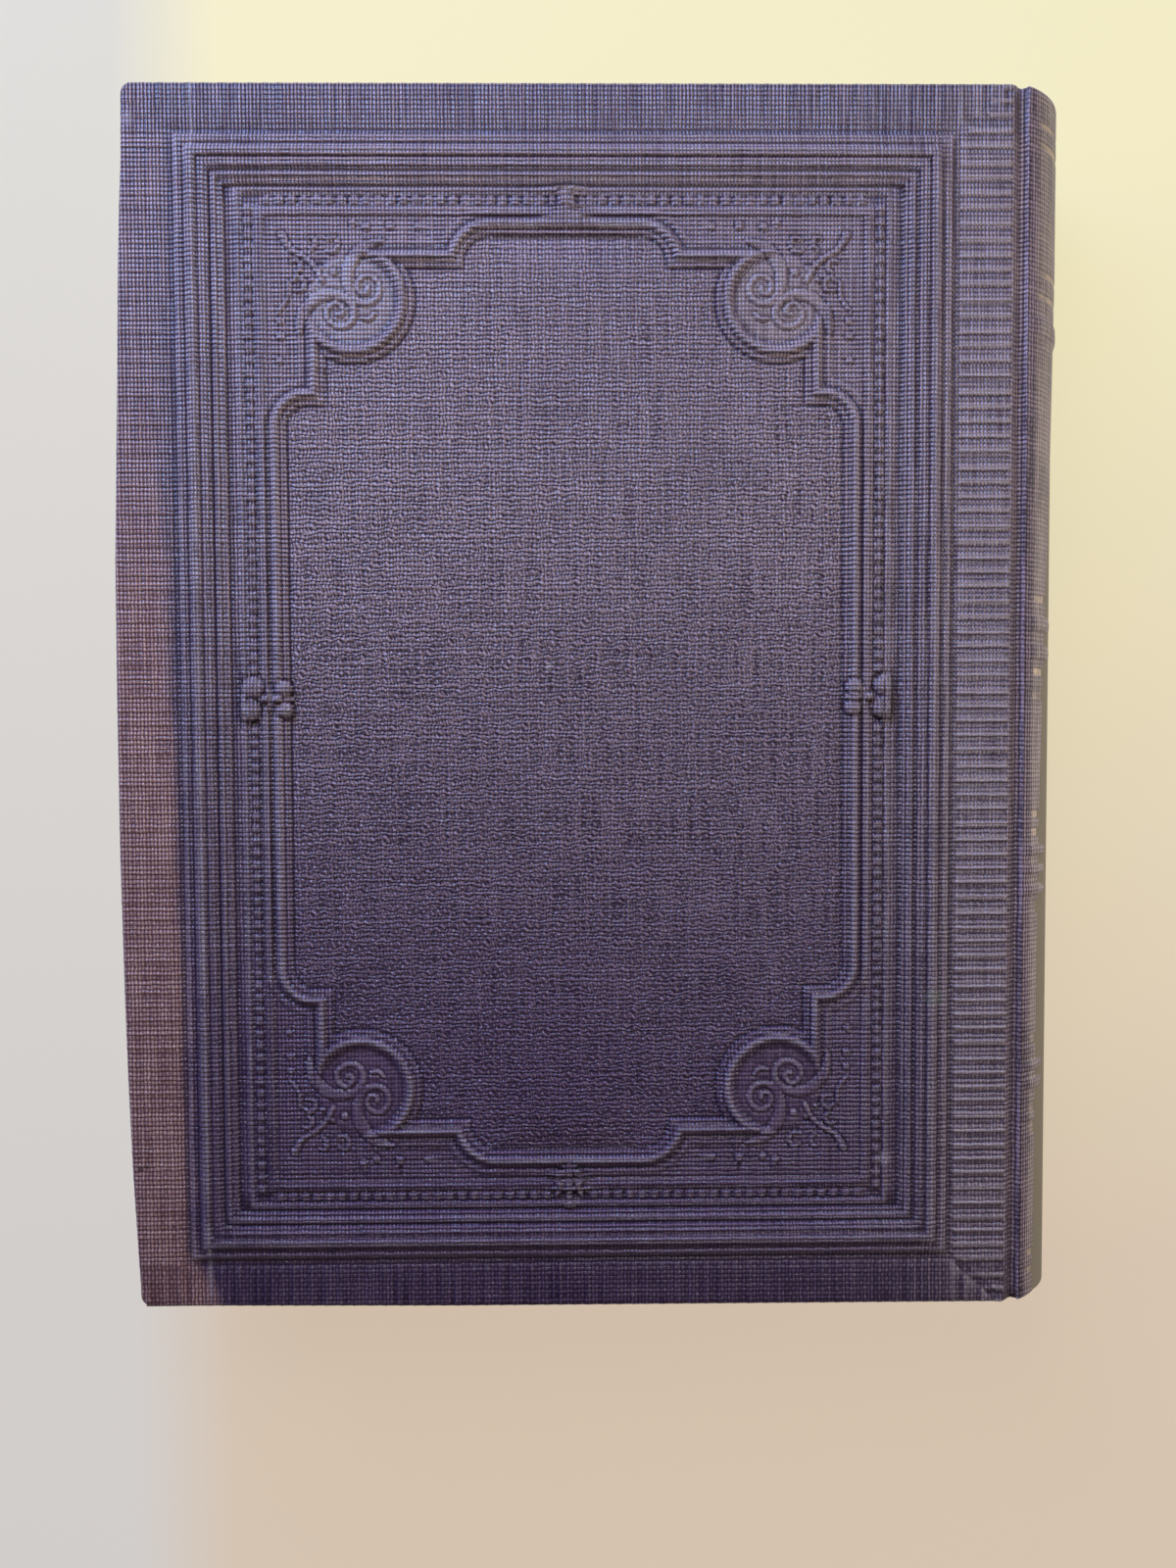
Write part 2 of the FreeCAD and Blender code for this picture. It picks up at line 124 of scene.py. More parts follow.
# Ornaments of a corner, from the panel's middle: places and half width of each stroke, then its height
upper_volute = (
    (36.5, 92.3, 0.3), (38.4, 91.9, 0.8), (41.0, 90.7, 1.2), (43.3, 87.8, 1.3), (43.9, 84.4, 1.1),
    (42.9, 81.2, 0.85), (40.4, 79.8, 0.65), (38.0, 80.9, 0.6), (37.4, 83.2, 0.55), (38.8, 85.2, 0.55),
    (41.0, 85.0, 0.5), (42.0, 83.2, 0.5), (41.2, 81.8, 0.45), (39.9, 82.1, 0.45), (39.8, 83.0, 0.5),
)
lower_volute = (
    (53.7, 73.5, 0.3), (53.6, 75.2, 0.8), (52.9, 78.0, 1.1), (50.2, 80.9, 1.2), (47.0, 81.7, 1.0),
    (44.0, 80.7, 0.8), (42.6, 78.3, 0.65), (43.4, 75.9, 0.6), (45.7, 75.2, 0.55), (47.9, 76.6, 0.55),
    (47.9, 78.8, 0.5), (46.3, 79.9, 0.5), (44.9, 78.9, 0.45), (45.1, 77.6, 0.45), (46.0, 77.7, 0.5),
)
strokes = (
    (upper_volute, 0.22),
    (lower_volute, 0.22),
    (((48.9, 84.2, 0.5), (50.6, 87.4, 0.55), (53.2, 89.5, 0.55), (55.4, 90.8, 0.6), (57.1, 93.6, 0.8)), 0.3),
    (((47.9, 92.6, 0.4), (46.3, 93.0, 0.45), (45.7, 91.4, 0.45), (46.9, 90.2, 0.45),
      (48.2, 90.6, 0.3)), 0.24),
    (((51.9, 92.8, 0.35), (50.7, 93.0, 0.45), (50.2, 91.6, 0.45), (51.3, 90.6, 0.35)), 0.24),
    (((54.9, 84.3, 0.35), (53.9, 85.2, 0.45), (52.6, 84.2, 0.45), (53.0, 82.6, 0.45),
      (54.6, 82.4, 0.35)), 0.24),
    (((55.3, 88.2, 0.35), (54.0, 88.5, 0.45), (53.2, 87.1, 0.45), (54.2, 86.0, 0.4)), 0.24),
    (((55.8, 84.2, 0.3), (56.0, 81.0, 0.35), (57.9, 78.4, 0.4)), 0.26),
    (((38.4, 77.9, 0.35), (39.6, 76.7, 0.5), (41.2, 76.9, 0.3)), 0.3),
)
dots = (
    (46.6, 86.1, 0.8, 0.34), (49.2, 87.0, 0.6, 0.26), (51.2, 84.6, 0.6, 0.26), (29.6, 95.3, 0.8, 0.26),
    (35.3, 95.5, 0.9, 0.28), (40.1, 95.2, 0.9, 0.28), (42.8, 95.9, 0.8, 0.26), (57.6, 76.5, 0.8, 0.28),
    (57.6, 73.5, 0.9, 0.28), (57.8, 68.5, 0.8, 0.26),
)

# Finials over the middle of the rib: half width of the neck by height, and strokes of the palmette
neck_middle = -0.7
neck_half_width = (
    (97.2, 8.0), (98.0, 5.4), (98.8, 3.4), (99.7, 2.0), (100.7, 1.1), (102.0, 0.7), (103.4, 0.95),
    (104.3, 1.4), (105.3, 2.2),
)
palmette = (
    (((-1.3, -95.6, 0.9), (-1.3, -99.0, 1.0), (-1.3, -101.5, 0.7), (-1.3, -104.4, 0.9)), 0.5),
    (((-2.4, -95.8, 0.8), (-3.4, -97.6, 1.0), (-3.0, -99.8, 0.8), (-3.9, -101.6, 0.5)), 0.5),
    (((-0.2, -95.8, 0.8), (0.9, -97.6, 0.9), (0.5, -99.8, 0.7), (1.3, -101.6, 0.5)), 0.5),
)

# Clasps at both sides: place, radius and height of each lobe
clasp_lobes = (
    (63.7, -0.3, 2.4, 0.95), (64.2, 4.0, 2.4, 0.95), (57.6, -0.4, 1.8, 1.25), (57.8, 3.8, 1.8, 1.25),
    (-66.0, -0.5, 2.4, 0.95), (-65.3, 4.0, 2.4, 0.95), (-58.8, -0.5, 1.8, 1.25), (-59.0, 3.8, 1.8, 1.25),
)
clasp_middle_y = 1.7
clasp_bars = (
    (((56.6, 1.7, 0.7), (66.0, 1.9, 0.8)), 0.75),
    (((-67.8, 1.8, 0.8), (-57.6, 1.7, 0.7)), 0.75),
)

# Crease that a fold has left across the margin at one corner
mitre_crease = ((78.3, -115.2, 0.35), (88.4, -124.0, 0.35))

# Threads of the cloth, from one to the next
warp_pitch = 0.75
weft_pitch = 0.95

# Worn and stained places of the cover: middle and radius, strength, colour
cover_marks = (
    ((-4.8, 8.2, 0.9), 0.7, "C9BFC6"),
    ((74.5, -60.5, 2.6), 0.4, "7F8C7A"),
    ((64.5, -94.5, 1.8), 0.45, "B9AEB8"),
    ((-88.8, 118.0, 1.8), 0.35, "C0B2BC"),
    ((-90.0, -95.4, 0.9), 0.8, "3A2A2E"),
    ((-88.8, -94.9, 0.8), 0.7, "3A2A2E"),
)
joint_marks = (
    ((84.8, 112.5, 1.3), 0.7, "D8CCC2"),
    ((85.2, 110.3, 1.1), 0.7, "D8CCC2"),
    ((85.4, 106.0, 1.0), 0.45, "BDB0B0"),
    ((85.6, 97.0, 0.9), 0.4, "B0A2A6"),
    ((85.6, 90.0, 0.9), 0.35, "B0A2A6"),
)

# Spine, with the round back's middle and radius in its section
shoulder_x = 86.0
back_centre = 80.196
back_radius = 16.504
spine_thickness = 0.5
spine_reach = 11.0
page_radius = 14.204
band_depth = 1.6
band_width = 2.2
band_radius = page_radius - band_depth / 2
page_half_height = 121.5
page_half_thickness = 12.5
page_fore = -93.5
page_shoulder_start = 83.3
page_shoulder_end = 84.3
fore_hollow = 6.0

# Stamped lines and bands across the spine, from low to high
gilt_rules = (
    (117.8, 118.8), (113.4, 114.8), (83.3, 84.2), (87.8, 88.9), (21.4, 22.8), (6.2, 7.6), (1.2, 3.0),
    (-23.4, -22.2), (-27.4, -25.8), (-43.6, -41.4), (-71.0, -69.2), (-85.5, -83.9), (-90.2, -88.0),
    (-116.4, -115.2), (-120.4, -119.0),
)
stamped_bands = (
    (75.6, 79.7), (9.3, 12.6), (15.2, 18.5), (-31.6, -29.1), (-35.6, -33.2), (-39.8, -37.4),
    (-77.0, -74.6), (-80.8, -78.4),
)
stamped_band_rise = 0.45
gilt_rule_depth = 0.1
spine_lean = ((-125.0, 1.7), (-30.0, 1.5), (50.0, 0.7), (90.0, 0.0), (125.0, 0.0))

# Bow of the fore edge of the boards by height, and slant of the foot by place along it
fore_bow = (
    (-124.0, 0.5), (-120.0, 0.6), (-110.0, 1.1), (-95.0, 1.8), (-75.0, 2.4), (-60.0, 2.7), (-30.0, 3.1),
    (0.0, 3.1), (30.0, 2.9), (70.0, 1.7), (90.0, 1.2), (100.0, 0.8), (110.0, 0.3), (125.0, 0.0),
)
foot_slant = ((-90.0, 0.9), (-50.0, 0.5), (-25.0, 0.25), (90.0, 0.0))


def colour(code):
    """Linear colour from an sRGB hex code."""
    channels = []
    for start in (0, 2, 4):
        value = int(code[start:start + 2], 16) / 255
        if value <= 0.04045:
            channels.append(value / 12.92)
        else:
            channels.append(((value + 0.055) / 1.055) ** 2.4)
    return (channels[0], channels[1], channels[2], 1.0)


# Relief of a cover


def from_section(distance, section):
    places = [step[0] for step in section]
    heights = [step[1] for step in section]
    return np.interp(distance, places, heights)


def nearest_stroke(x, y, points):
    """Distance past the edge of a stroke, and the half width of the stroke there."""
    gap = np.full(x.shape, 1e3)
    width = np.ones(x.shape)
    for (ax, ay, aw), (bx, by, bw) in zip(points[:-1], points[1:]):
        dx = bx - ax
        dy = by - ay
        along = np.clip(((x - ax) * dx + (y - ay) * dy) / (dx * dx + dy * dy), 0, 1)
        half = aw + (bw - aw) * along
        away = np.hypot(x - ax - along * dx, y - ay - along * dy) - half
        width = np.where(away < gap, half, width)
        gap = np.minimum(gap, away)
    return gap, width


def rounded(points, per_step=4):
    """Smooth line through the points, with their half widths."""
    line = []
    ends = [points[0]] + list(points) + [points[-1]]
    for k in range(len(points) - 1):
        a, b, c, d = [np.array(p) for p in ends[k:k + 4]]
        for i in range(per_step):
            t = i / per_step
            line.append(tuple(0.5 * (2 * b + (c - a) * t + (2 * a - 5 * b + 4 * c - d) * t**2
                                     + (3 * b - a - 3 * c + d) * t**3)))
    line.append(tuple(points[-1]))
    return line


def laid(x, y, height, shapes, spots):
    """Height with strokes and dots laid on it, each in its own narrow groove."""
    ridge = np.zeros(x.shape)
    groove = np.zeros(x.shape)
    found = [nearest_stroke(x, y, rounded(points)) + (rise,) for points, rise in shapes]
    found += [(np.hypot(x - cx, y - cy) - radius, radius, rise) for cx, cy, radius, rise in spots]
    for gap, width, rise in found:
        share = np.clip(1 - (1 + np.minimum(gap, 0) / width) ** 2, 0, 1)
        ridge = np.maximum(ridge, rise * np.sqrt(share))
        groove = np.maximum(groove, 0.22 * np.clip(1 - np.abs(gap - 0.15) / 0.35, 0, 1))
    return height + ridge - np.where(ridge > 0, 0.0, groove)


def panel_distances(x, y):
    """Distances out from the panel's edge, for places in the quarter: at its head, side and scroll."""
    corner_y = panel_top - panel_top_corner
    step_x = panel_top_half + panel_top_corner
    turn = np.hypot(x - panel_top_half, y - corner_y) - panel_top_corner
    upright = np.where(y > corner_y, turn, x - step_x)
    head = np.where(x <= panel_top_half, y - panel_top, np.minimum(upright, y - step_y))
    corner = (long_x - side_corner, side_step_y - side_corner)
    turn = np.hypot(x - corner[0], y - corner[1]) - side_corner
    low = np.where(y < corner[1], x - long_x, np.where(x < corner[0], y - side_step_y, turn))
    side = np.where(y > side_step_y, np.minimum(x - short_x, low), low)
    ring = scroll_radius - np.hypot(x - scroll[0], y - scroll[1])
    in_head = x < scroll[0] + 0.5
    in_side = y < scroll[1] + 0.5
    head = np.where(in_head, head, -1.0)
    side = np.where(in_side, side, -1.0)
    ring = np.where(in_head | in_side, ring, -1.0)
    return head, side, ring


def panel_rib(x, y):
    """Height of the panel's rib and scroll over the field, for places in the quarter."""
    head, side, ring = panel_distances(x, y)
    height = from_section(np.maximum(np.maximum(head, side), ring), rib_rise)
    for distance, section in ((head, rib_fall), (side, rib_fall), (ring, scroll_fall)):
        height = np.minimum(height, from_section(distance, section))
    fade = np.maximum(np.clip((scroll[0] + 0.5 - x) / 2, 0, 1), np.clip((scroll[1] + 0.5 - y) / 2, 0, 1))
    disc = 0.22 * np.clip((9.4 - np.hypot(x - scroll[0], y - scroll[1])) / 1.2, 0, 1)
    return np.where(fade < 1, np.maximum(height * fade, disc), height)


def bead_centres(places, middle, gap_middle, half_gap, reach):
    """Nearest bead of a row for each place along it, or a far one in the row's gap and past its ends."""
    centres = middle + bead_pitch * np.round((places - middle) / bead_pitch)
    kept = (np.abs(centres - gap_middle) > half_gap) & (np.abs(centres - middle) < reach)
    return np.where(kept, centres, 1e3)


def beads(x, y, height):
    """Height with the rows of beads laid on it."""
    column = bead_centres(y, frame_middle_y, clasp_middle_y, gap_at_clasp, bead_row - 1)
    row = bead_centres(x, design_x, neck_middle, gap_at_neck, bead_column - 2.4)
    away = np.hypot(np.abs(x - design_x) - bead_column, y - column)
    away = np.minimum(away, np.hypot(x - row, np.abs(y - frame_middle_y) - bead_row))
    share = np.clip(1 - (away / bead_radius) ** 2, 0, 1)
    return np.where(share > 0, np.maximum(height, -0.3 + bead_height * np.sqrt(share)), height)


def neck(x, y, height):
    """Height with the neck over the rib's head laid on it."""
    half = from_section(y, neck_half_width)
    past = np.maximum(np.abs(x - neck_middle) - half, 0)
    raised = field_level + from_section(2.75 + past, rib_fall)
    near = (y > neck_half_width[0][0]) & (y < neck_half_width[-1][0]) & (past < 2.6)
    return np.where(near, np.maximum(height, raised), height)


def clasps(x, y, height):
    """Height with the lobes of the clasps laid on it."""
    height = np.where(np.abs(y - clasp_middle_y) < 2.0, laid(x, y, height, clasp_bars, ()), height)
    for cx, cy, radius, rise in clasp_lobes:
        away = np.hypot(x - cx, y - cy)
        height = height - 0.3 * np.clip(1 - np.abs(away - radius - 0.15) / 0.45, 0, 1)
    for cx, cy, radius, rise in clasp_lobes:
        share = np.clip(1 - (np.hypot(x - cx, y - cy) / radius) ** 2, 0, 1)
        height = np.where(share > 0, np.maximum(height, field_level + rise * np.sqrt(share)), height)
    return height


def ribs(x, y, at_side):
    """Height of the ribs that cross the margins, a little uneven as stamped cloth is."""
    along = np.where(at_side, y, x)
    along = along + 0.22 * np.sin(0.41 * along + 1.0) + 0.16 * np.sin(0.93 * along)
    depth = np.where(at_side, np.where(x < 0, 0.3, 0.8), 0.35)
    turn = 2 * math.pi * along / rib_pitch
    return depth * (0.15 * np.cos(turn) + 0.09 * np.cos(2 * turn + 1.0))


def relief(x, y):
    """Height of the cloth over the margin's level, anywhere on a cover."""
    inset_x = np.minimum(x - frame_left, frame_right - x)
    inset_y = frame_half_height - np.abs(y - frame_middle_y)
    level_x = inset_x - np.clip(inset_x - side_flat_start, 0, side_flat_width)
    inset = np.minimum(level_x, inset_y)
    height = from_section(inset, frame_section)

    first, foot = frame_section[0]
    share = np.clip((first - inset) / 0.8, 0, 1)
    margin = share * ribs(x, y, inset_x < inset_y) + (1 - share) * foot
    gap, _ = nearest_stroke(x, y, mitre_crease)
    margin = margin - 0.3 * np.clip(1 - np.abs(gap) / 0.45, 0, 1)
    height = np.where(inset < first, margin, height)

    qx = np.abs(x - design_x)
    qy = np.abs(y - panel_middle_y)
    field = laid(qx, qy, height + panel_rib(qx, qy), strokes, dots)
    field = laid(x, y, field, palmette, ())
    field = beads(x, y, neck(x, y, field))
    return np.where(inset > 10.5, clasps(x, y, field), height)


def cloth_kinds(x, y):
    """How far each place is part of the inner panel, and part of a scroll's smooth disc."""
    qx = np.abs(x - design_x)
    qy = np.abs(y - panel_middle_y)
    head, side, ring = panel_distances(qx, qy)
    inside = np.maximum(np.maximum(head, side), ring)
    panel = np.where((qx < long_x) & (qy < panel_top), np.clip(0.2 - inside, 0, 1), 0.0)
    panel = np.where((qx > scroll[0]) & (qy > scroll[1]), 0.0, panel)
    disc = np.clip((9.2 - np.hypot(qx - scroll[0], qy - scroll[1])) / 0.8, 0, 1)
    return panel, disc


def corner_inset(x, y):
    """Distance in from the rounded edge of the board."""
    radius = np.where(x < 0, fore_corner, joint_corner)
    dx = np.abs(x) - (board_width / 2 - radius)
    dy = np.abs(y) - (board_height / 2 - radius)
    outside = np.hypot(np.maximum(dx, 0), np.maximum(dy, 0))
    return radius - outside - np.minimum(np.maximum(dx, dy), 0)


def rolled_edge(x, y, height):
    """Height with the board's edge rounded off."""
    drop = np.clip(1 - corner_inset(x, y) / edge_round, 0, 1)
    return height - 0.45 * (1 - np.sqrt(np.clip(1 - drop**2, 0, 1)))


# Points of the cover's mesh


class Plan:
    """Points and lines on the plan of a cover."""

    def __init__(self):
        self.points = []
        self.lines = []

    def line(self, points, closed=False):
        start = len(self.points)
        self.points.extend(points)
        count = len(points)
        self.lines.extend((start + k, start + k + 1) for k in range(count - 1))
        if closed:
            self.lines.append((start + count - 1, start))

    def lattice(self, x0, x1, y0, y1, dx, dy, keep=None):
        xs = np.arange(x0, x1 + dx / 2, dx)
        ys = np.arange(y0, y1 + dy / 2, dy)
        gx, gy = [g.ravel() for g in np.meshgrid(xs, ys)]
        if keep is not None:
            chosen = keep(gx, gy)
            gx, gy = gx[chosen], gy[chosen]
        self.points.extend(zip(gx, gy))


def stepped(start, end, step):
    """Places along a straight line, both ends included."""
    count = max(1, round(math.dist(start, end) / step))
    return [(start[0] + (end[0] - start[0]) * k / count, start[1] + (end[1] - start[1]) * k / count)
            for k in range(count + 1)]


def board_outline(step):
    """Outline of a board with rounded corners, anticlockwise."""
    outline = []
    for sx, sy, first in ((1, -1, -90), (1, 1, 0), (-1, 1, 90), (-1, -1, 180)):
        radius = joint_corner if sx > 0 else fore_corner
        cx = sx * (board_width / 2 - radius)
        cy = sy * (board_height / 2 - radius)
        for k in range(7):
            turn = math.radians(first + 15 * k)
            outline.append((cx + radius * math.cos(turn), cy + radius * math.sin(turn)))
    full = []
    for a, b in zip(outline, outline[1:] + outline[:1]):
        full.extend(stepped(a, b, step)[:-1])
    return full


def frame_line(inset, step):
    """Line round the frame at this inset, with the flat at the two sides left in its place."""
    side = inset + side_flat_width * min(1.0, max(0.0, (inset - side_flat_start) / 0.2))
    x0 = frame_left + side
    x1 = frame_right - side
    y0 = frame_middle_y - frame_half_height + inset
    y1 = frame_middle_y + frame_half_height - inset
    corners = [(x0, y0), (x1, y0), (x1, y1), (x0, y1), (x0, y0)]
    full = []
    for a, b in zip(corners[:-1], corners[1:]):
        full.extend(stepped(a, b, step)[:-1])
    return full


def quarter_plan():
    """Points of the inner panel in the quarter right of and above its middle."""
    plan = Plan()
    offsets = sorted({step[0] for step in rib_rise + rib_fall})
    for offset in offsets:
        plan.line(stepped((0.6, panel_top + offset), (panel_top_half - 1, panel_top + offset), 2.4))
        plan.line(stepped((26.6, step_y + offset), (29.2, step_y + offset), 1.3))
        plan.line(stepped((short_x + offset, 65.6), (short_x + offset, 67.2), 1.6))
        plan.line(stepped((long_x + offset, 6.0), (long_x + offset, 52.0), 2.4))
    plan.lattice(14.4, 26.4, 84.2, 99.4, 0.4, 0.4)
    plan.lattice(46.6, 62.4, 51.6, 66.0, 0.42, 0.4)
    plan.lattice(29.6, 59.6, 66.8, 96.6, 0.33, 0.33)
    plan.lattice(0.0, 54.0, 0.0, 84.0, 6.0, 6.0,
                 lambda x, y: (np.hypot(x - scroll[0], y - scroll[1]) > scroll_radius + 1) & (y + x < 114))
    return plan


def ring_points(plan, cx, cy):
    """Points of one bead."""
    plan.points.append((cx, cy))
    for radius, count in ((0.6, 6), (0.98, 8), (bead_radius, 10)):
        for k in range(count):
            turn = 2 * math.pi * (k + 0.5) / count
            plan.points.append((cx + radius * math.cos(turn), cy + radius * math.sin(turn)))


def middle_points(plan):
    """Points of the beads, the finials and the clasps, in the board's own place."""
    for k in range(-40, 41):
        y = frame_middle_y + k * bead_pitch
        if abs(y - clasp_middle_y) > gap_at_clasp and abs(y - frame_middle_y) < bead_row - 1:
            ring_points(plan, design_x + bead_column, y)
            ring_points(plan, design_x - bead_column, y)
    for k in range(-24, 25):
        x = design_x + k * bead_pitch
        if abs(x - neck_middle) > gap_at_neck:
            ring_points(plan, x, frame_middle_y + bead_row)
            ring_points(plan, x, frame_middle_y - bead_row)
    plan.lattice(-6.0, 5.0, 96.4, 104.9, 0.34, 0.34)
    plan.lattice(-6.0, 4.0, -104.4, -94.6, 0.34, 0.34)
    plan.lattice(54.6, 67.8, -3.6, 7.4, 0.34, 0.34)
    plan.lattice(-69.6, -56.2, -3.6, 7.4, 0.34, 0.34)


def margin_points(plan):
    """Points of the four margins, close together across the ribs."""
    step = rib_pitch / 8
    half_x = board_width / 2
    half_y = board_height / 2
    for inset in (0.12, 0.3, 0.6, 2.6, 5.0, 7.4, 9.0):
        x0 = -half_x + inset
        x1 = half_x - inset
        y1 = half_y - inset
        plan.points.extend(stepped((x0, -y1 + 0.3), (x0, y1 - 0.3), step))
        plan.points.extend(stepped((x1, -y1 + 0.3), (x1, y1 - 0.3), step))
        for side in (1, -1):
            plan.points.extend(stepped((x0 + 0.3, side * y1), (x1 - 0.3, side * y1), step))
    x = frame_right + 1.6
    plan.points.extend(stepped((x, -frame_half_height), (x, frame_half_height), step))


def cover_plan():
    """All the points and lines of a cover, in the board's own place."""
    plan = Plan()
    plan.line(board_outline(rib_pitch / 8), closed=True)
    outline_count = len(plan.points)
    first = frame_section[0][0]
    plan.line(frame_line(first, rib_pitch / 8), closed=True)
    for inset, _ in frame_section[1:]:
        plan.line(frame_line(inset, 3.6), closed=True)
    corners = [plan.points[k] for k in range(outline_count, len(plan.points))]
    for sx in (-1, 1):
        for sy in (-1, 1):
            end = max(corners, key=lambda p: sx * p[0] + sy * p[1])
            start = (sx * (board_width / 2 - 0.9), sy * (board_height / 2 - 0.9))
            plan.line(stepped(start, end, 0.7))
    (ax, ay, _), (bx, by, _) = mitre_crease
    for shift in (-0.8, -0.3, 0.0, 0.3, 0.8):
        plan.points.extend(stepped((ax + shift, ay + 0.5 + shift), (bx + shift, by + shift), 0.4))
    margin_points(plan)
    middle_points(plan)
    quarter = quarter_plan()
    for sx in (1, -1):
        for sy in (1, -1):
            start = len(plan.points)
            plan.points.extend((design_x + sx * x, panel_middle_y + sy * y) for x, y in quarter.points)
            plan.lines.extend((a + start, b + start) for a, b in quarter.lines)
    return plan, outline_count


def thinned(plan, fixed, gap=0.13):
    """Points with close neighbours left out, apart from those on lines."""
    held = set()
    for a, b in plan.lines:
        held.add(a)
        held.add(b)
    taken = set()
    order = sorted(range(len(plan.points)), key=lambda k: k not in held)
    places = {}
    points = []
    for k in order:
        x, y = plan.points[k]
        cell = (round(x / gap), round(y / gap))
        if k not in held:
            near = any((cell[0] + i, cell[1] + j) in taken for i in (-1, 0, 1) for j in (-1, 0, 1))
            if near or corner_inset(np.array(x), np.array(y)) < 0.05:
                continue
        taken.add(cell)
        places[k] = len(points)
        points.append((x, y))
    lines = [(places[a], places[b]) for a, b in plan.lines]
    return points, lines, [places[k] for k in range(fixed)]


def make_cover_data():
    """Vertices, faces and per-vertex kinds of a cover's cloth, lying on the margin's level."""
    plan, fixed = cover_plan()
    points, lines, rim = thinned(plan, fixed)
    flat, _, faces, origin, _, _ = delaunay_2d_cdt([Vector(p) for p in points], lines, [], 0, 1e-5, True)
    x = np.array([p.x for p in flat])
    y = np.array([p.y for p in flat])
    height = rolled_edge(x, y, relief(x, y))
    around = np.zeros(x.shape)
    for k in range(8):
        turn = math.pi * k / 4
        for reach in (0.8, 1.6):
            around += relief(x + reach * math.cos(turn), y + reach * math.sin(turn)) / 16
    lift = relief(x, y) - around
    panel, disc = cloth_kinds(x, y)
    where = {}
    for new, olds in enumerate(origin):
        for old in olds:
            where[old] = new
    rim = [where[k] for k in rim]
    vertices = list(zip(x, y, height))
    faces = [tuple(f) for f in faces]
    kinds = list(zip(lift, panel, disc))

    # Down the edge, in under the board and back over its inner face
    low = -cover_depth
    rings = [rim]
    for inset, z in ((0.0, -1.2), (0.0, low + 0.4), (0.35, low), (15.0, low), (15.0, low + 0.4),
                     (0.45, low + 0.4), (0.45, -0.5)):
        ring = []
        joint_inset = min(inset, 0.8)
        for k in rim:
            px = min(max(x[k], -board_width / 2 + inset), board_width / 2 - joint_inset)
            py = min(max(y[k], -board_height / 2 + inset), board_height / 2 - inset)
            ring.append(len(vertices))
            vertices.append((px, py, z))
            kinds.append((0.0, 0.0, 0.0))
        rings.append(ring)
    count = len(rim)
    for upper, lower in zip(rings[:-1], rings[1:]):
        for k in range(count):
            n = (k + 1) % count
            faces.append((upper[n], upper[k], lower[k], lower[n]))
    centre = len(vertices)
    vertices.append((0.0, 0.0, -0.5))
    kinds.append((0.0, 0.0, 0.0))
    for k in range(count):
        n = (k + 1) % count
        faces.append((rings[-1][n], rings[-1][k], centre))
    return vertices, faces, kinds


def bowed(x, y):
    """Places of the cover with its fore edge bowed outwards and its foot a little slanted."""
    reach = np.clip((frame_left - x) / (frame_left + board_width / 2), 0, 1)
    shift = -np.interp(y, [step[0] for step in fore_bow], [step[1] for step in fore_bow]) * reach
    low = np.clip((-frame_half_height - y) / (board_height / 2 - frame_half_height), 0, 1)
    rise = np.interp(x, [step[0] for step in foot_slant], [step[1] for step in foot_slant]) * low
    return x + shift, y + rise


# Meshes


def mesh_object(name, vertices, faces, material, kinds=None):
    """Object with its mesh in metres, welded and with its faces outwards."""
    mesh = bpy.data.meshes.new(name)
    mesh.from_pydata([(x / 1000, y / 1000, z / 1000) for x, y, z in vertices], [], faces)
    for k, kind in enumerate(("lift", "panel", "disc") if kinds else ()):
        values = mesh.attributes.new(kind, "FLOAT", "POINT")
        values.data.foreach_set("value", np.array([steps[k] for steps in kinds], dtype=np.float32))
    bm = bmesh.new()
    bm.from_mesh(mesh)
    bmesh.ops.remove_doubles(bm, verts=bm.verts, dist=2e-6)
    bmesh.ops.dissolve_degenerate(bm, edges=bm.edges, dist=1e-7)
    bmesh.ops.recalc_face_normals(bm, faces=bm.faces)
    bm.to_mesh(mesh)
    bm.free()
    mesh.materials.append(material)
    mesh.polygons.foreach_set("use_smooth", [True] * len(mesh.polygons))
    obj = bpy.data.objects.new(name, mesh)
    bpy.context.collection.objects.link(obj)
    return obj


def swept(section, places):
    """Vertices and faces of a closed section carried along Y."""
    count = len(section)
    vertices = []
    faces = []
    for y in places:
        for x, z in section:
            vertices.append((x, y, z))
    for row in range(len(places) - 1):
        for k in range(count):
            n = (k + 1) % count
            a = row * count
            faces.append((a + k, a + n, a + count + n, a + count + k))
    faces.append(tuple(range(count)))
    last = (len(places) - 1) * count
    faces.append(tuple(range(last + count - 1, last - 1, -1)))
    return vertices, faces


# Finishes


def node(tree, kind, inputs=(), **settings):
    """Add a shader node, set it up and fill or link its inputs."""
    made = tree.nodes.new(kind)
    for name, value in settings.items():
        setattr(made, name, value)
    for key, value in dict(inputs).items():
        if isinstance(value, bpy.types.NodeSocket):
            tree.links.new(value, made.inputs[key])
        else:
            made.inputs[key].default_value = value
    return made


def calc(tree, operation, *values):
    return node(tree, "ShaderNodeMath", dict(enumerate(values)), operation=operation).outputs[0]


def remap(tree, value, low, high, to_low=0.0, to_high=1.0):
    ramp = node(tree, "ShaderNodeMapRange", {0: value, 1: low, 2: high, 3: to_low, 4: to_high})
    return ramp.outputs[0]


def blended(tree, share, first, second):
    """Colour mixed from two colours or sockets."""
    return node(tree, "ShaderNodeMix", {0: share, 6: first, 7: second}, data_type="RGBA").outputs[2]


def new_material(name, base, roughness):
    """Material with its tree and shader."""
    material = bpy.data.materials.new(name)
    material.use_nodes = True
    tree = material.node_tree
    shader = tree.nodes["Principled BSDF"]
    shader.inputs["Base Color"].default_value = base
    shader.inputs["Roughness"].default_value = roughness
    return material, tree, shader


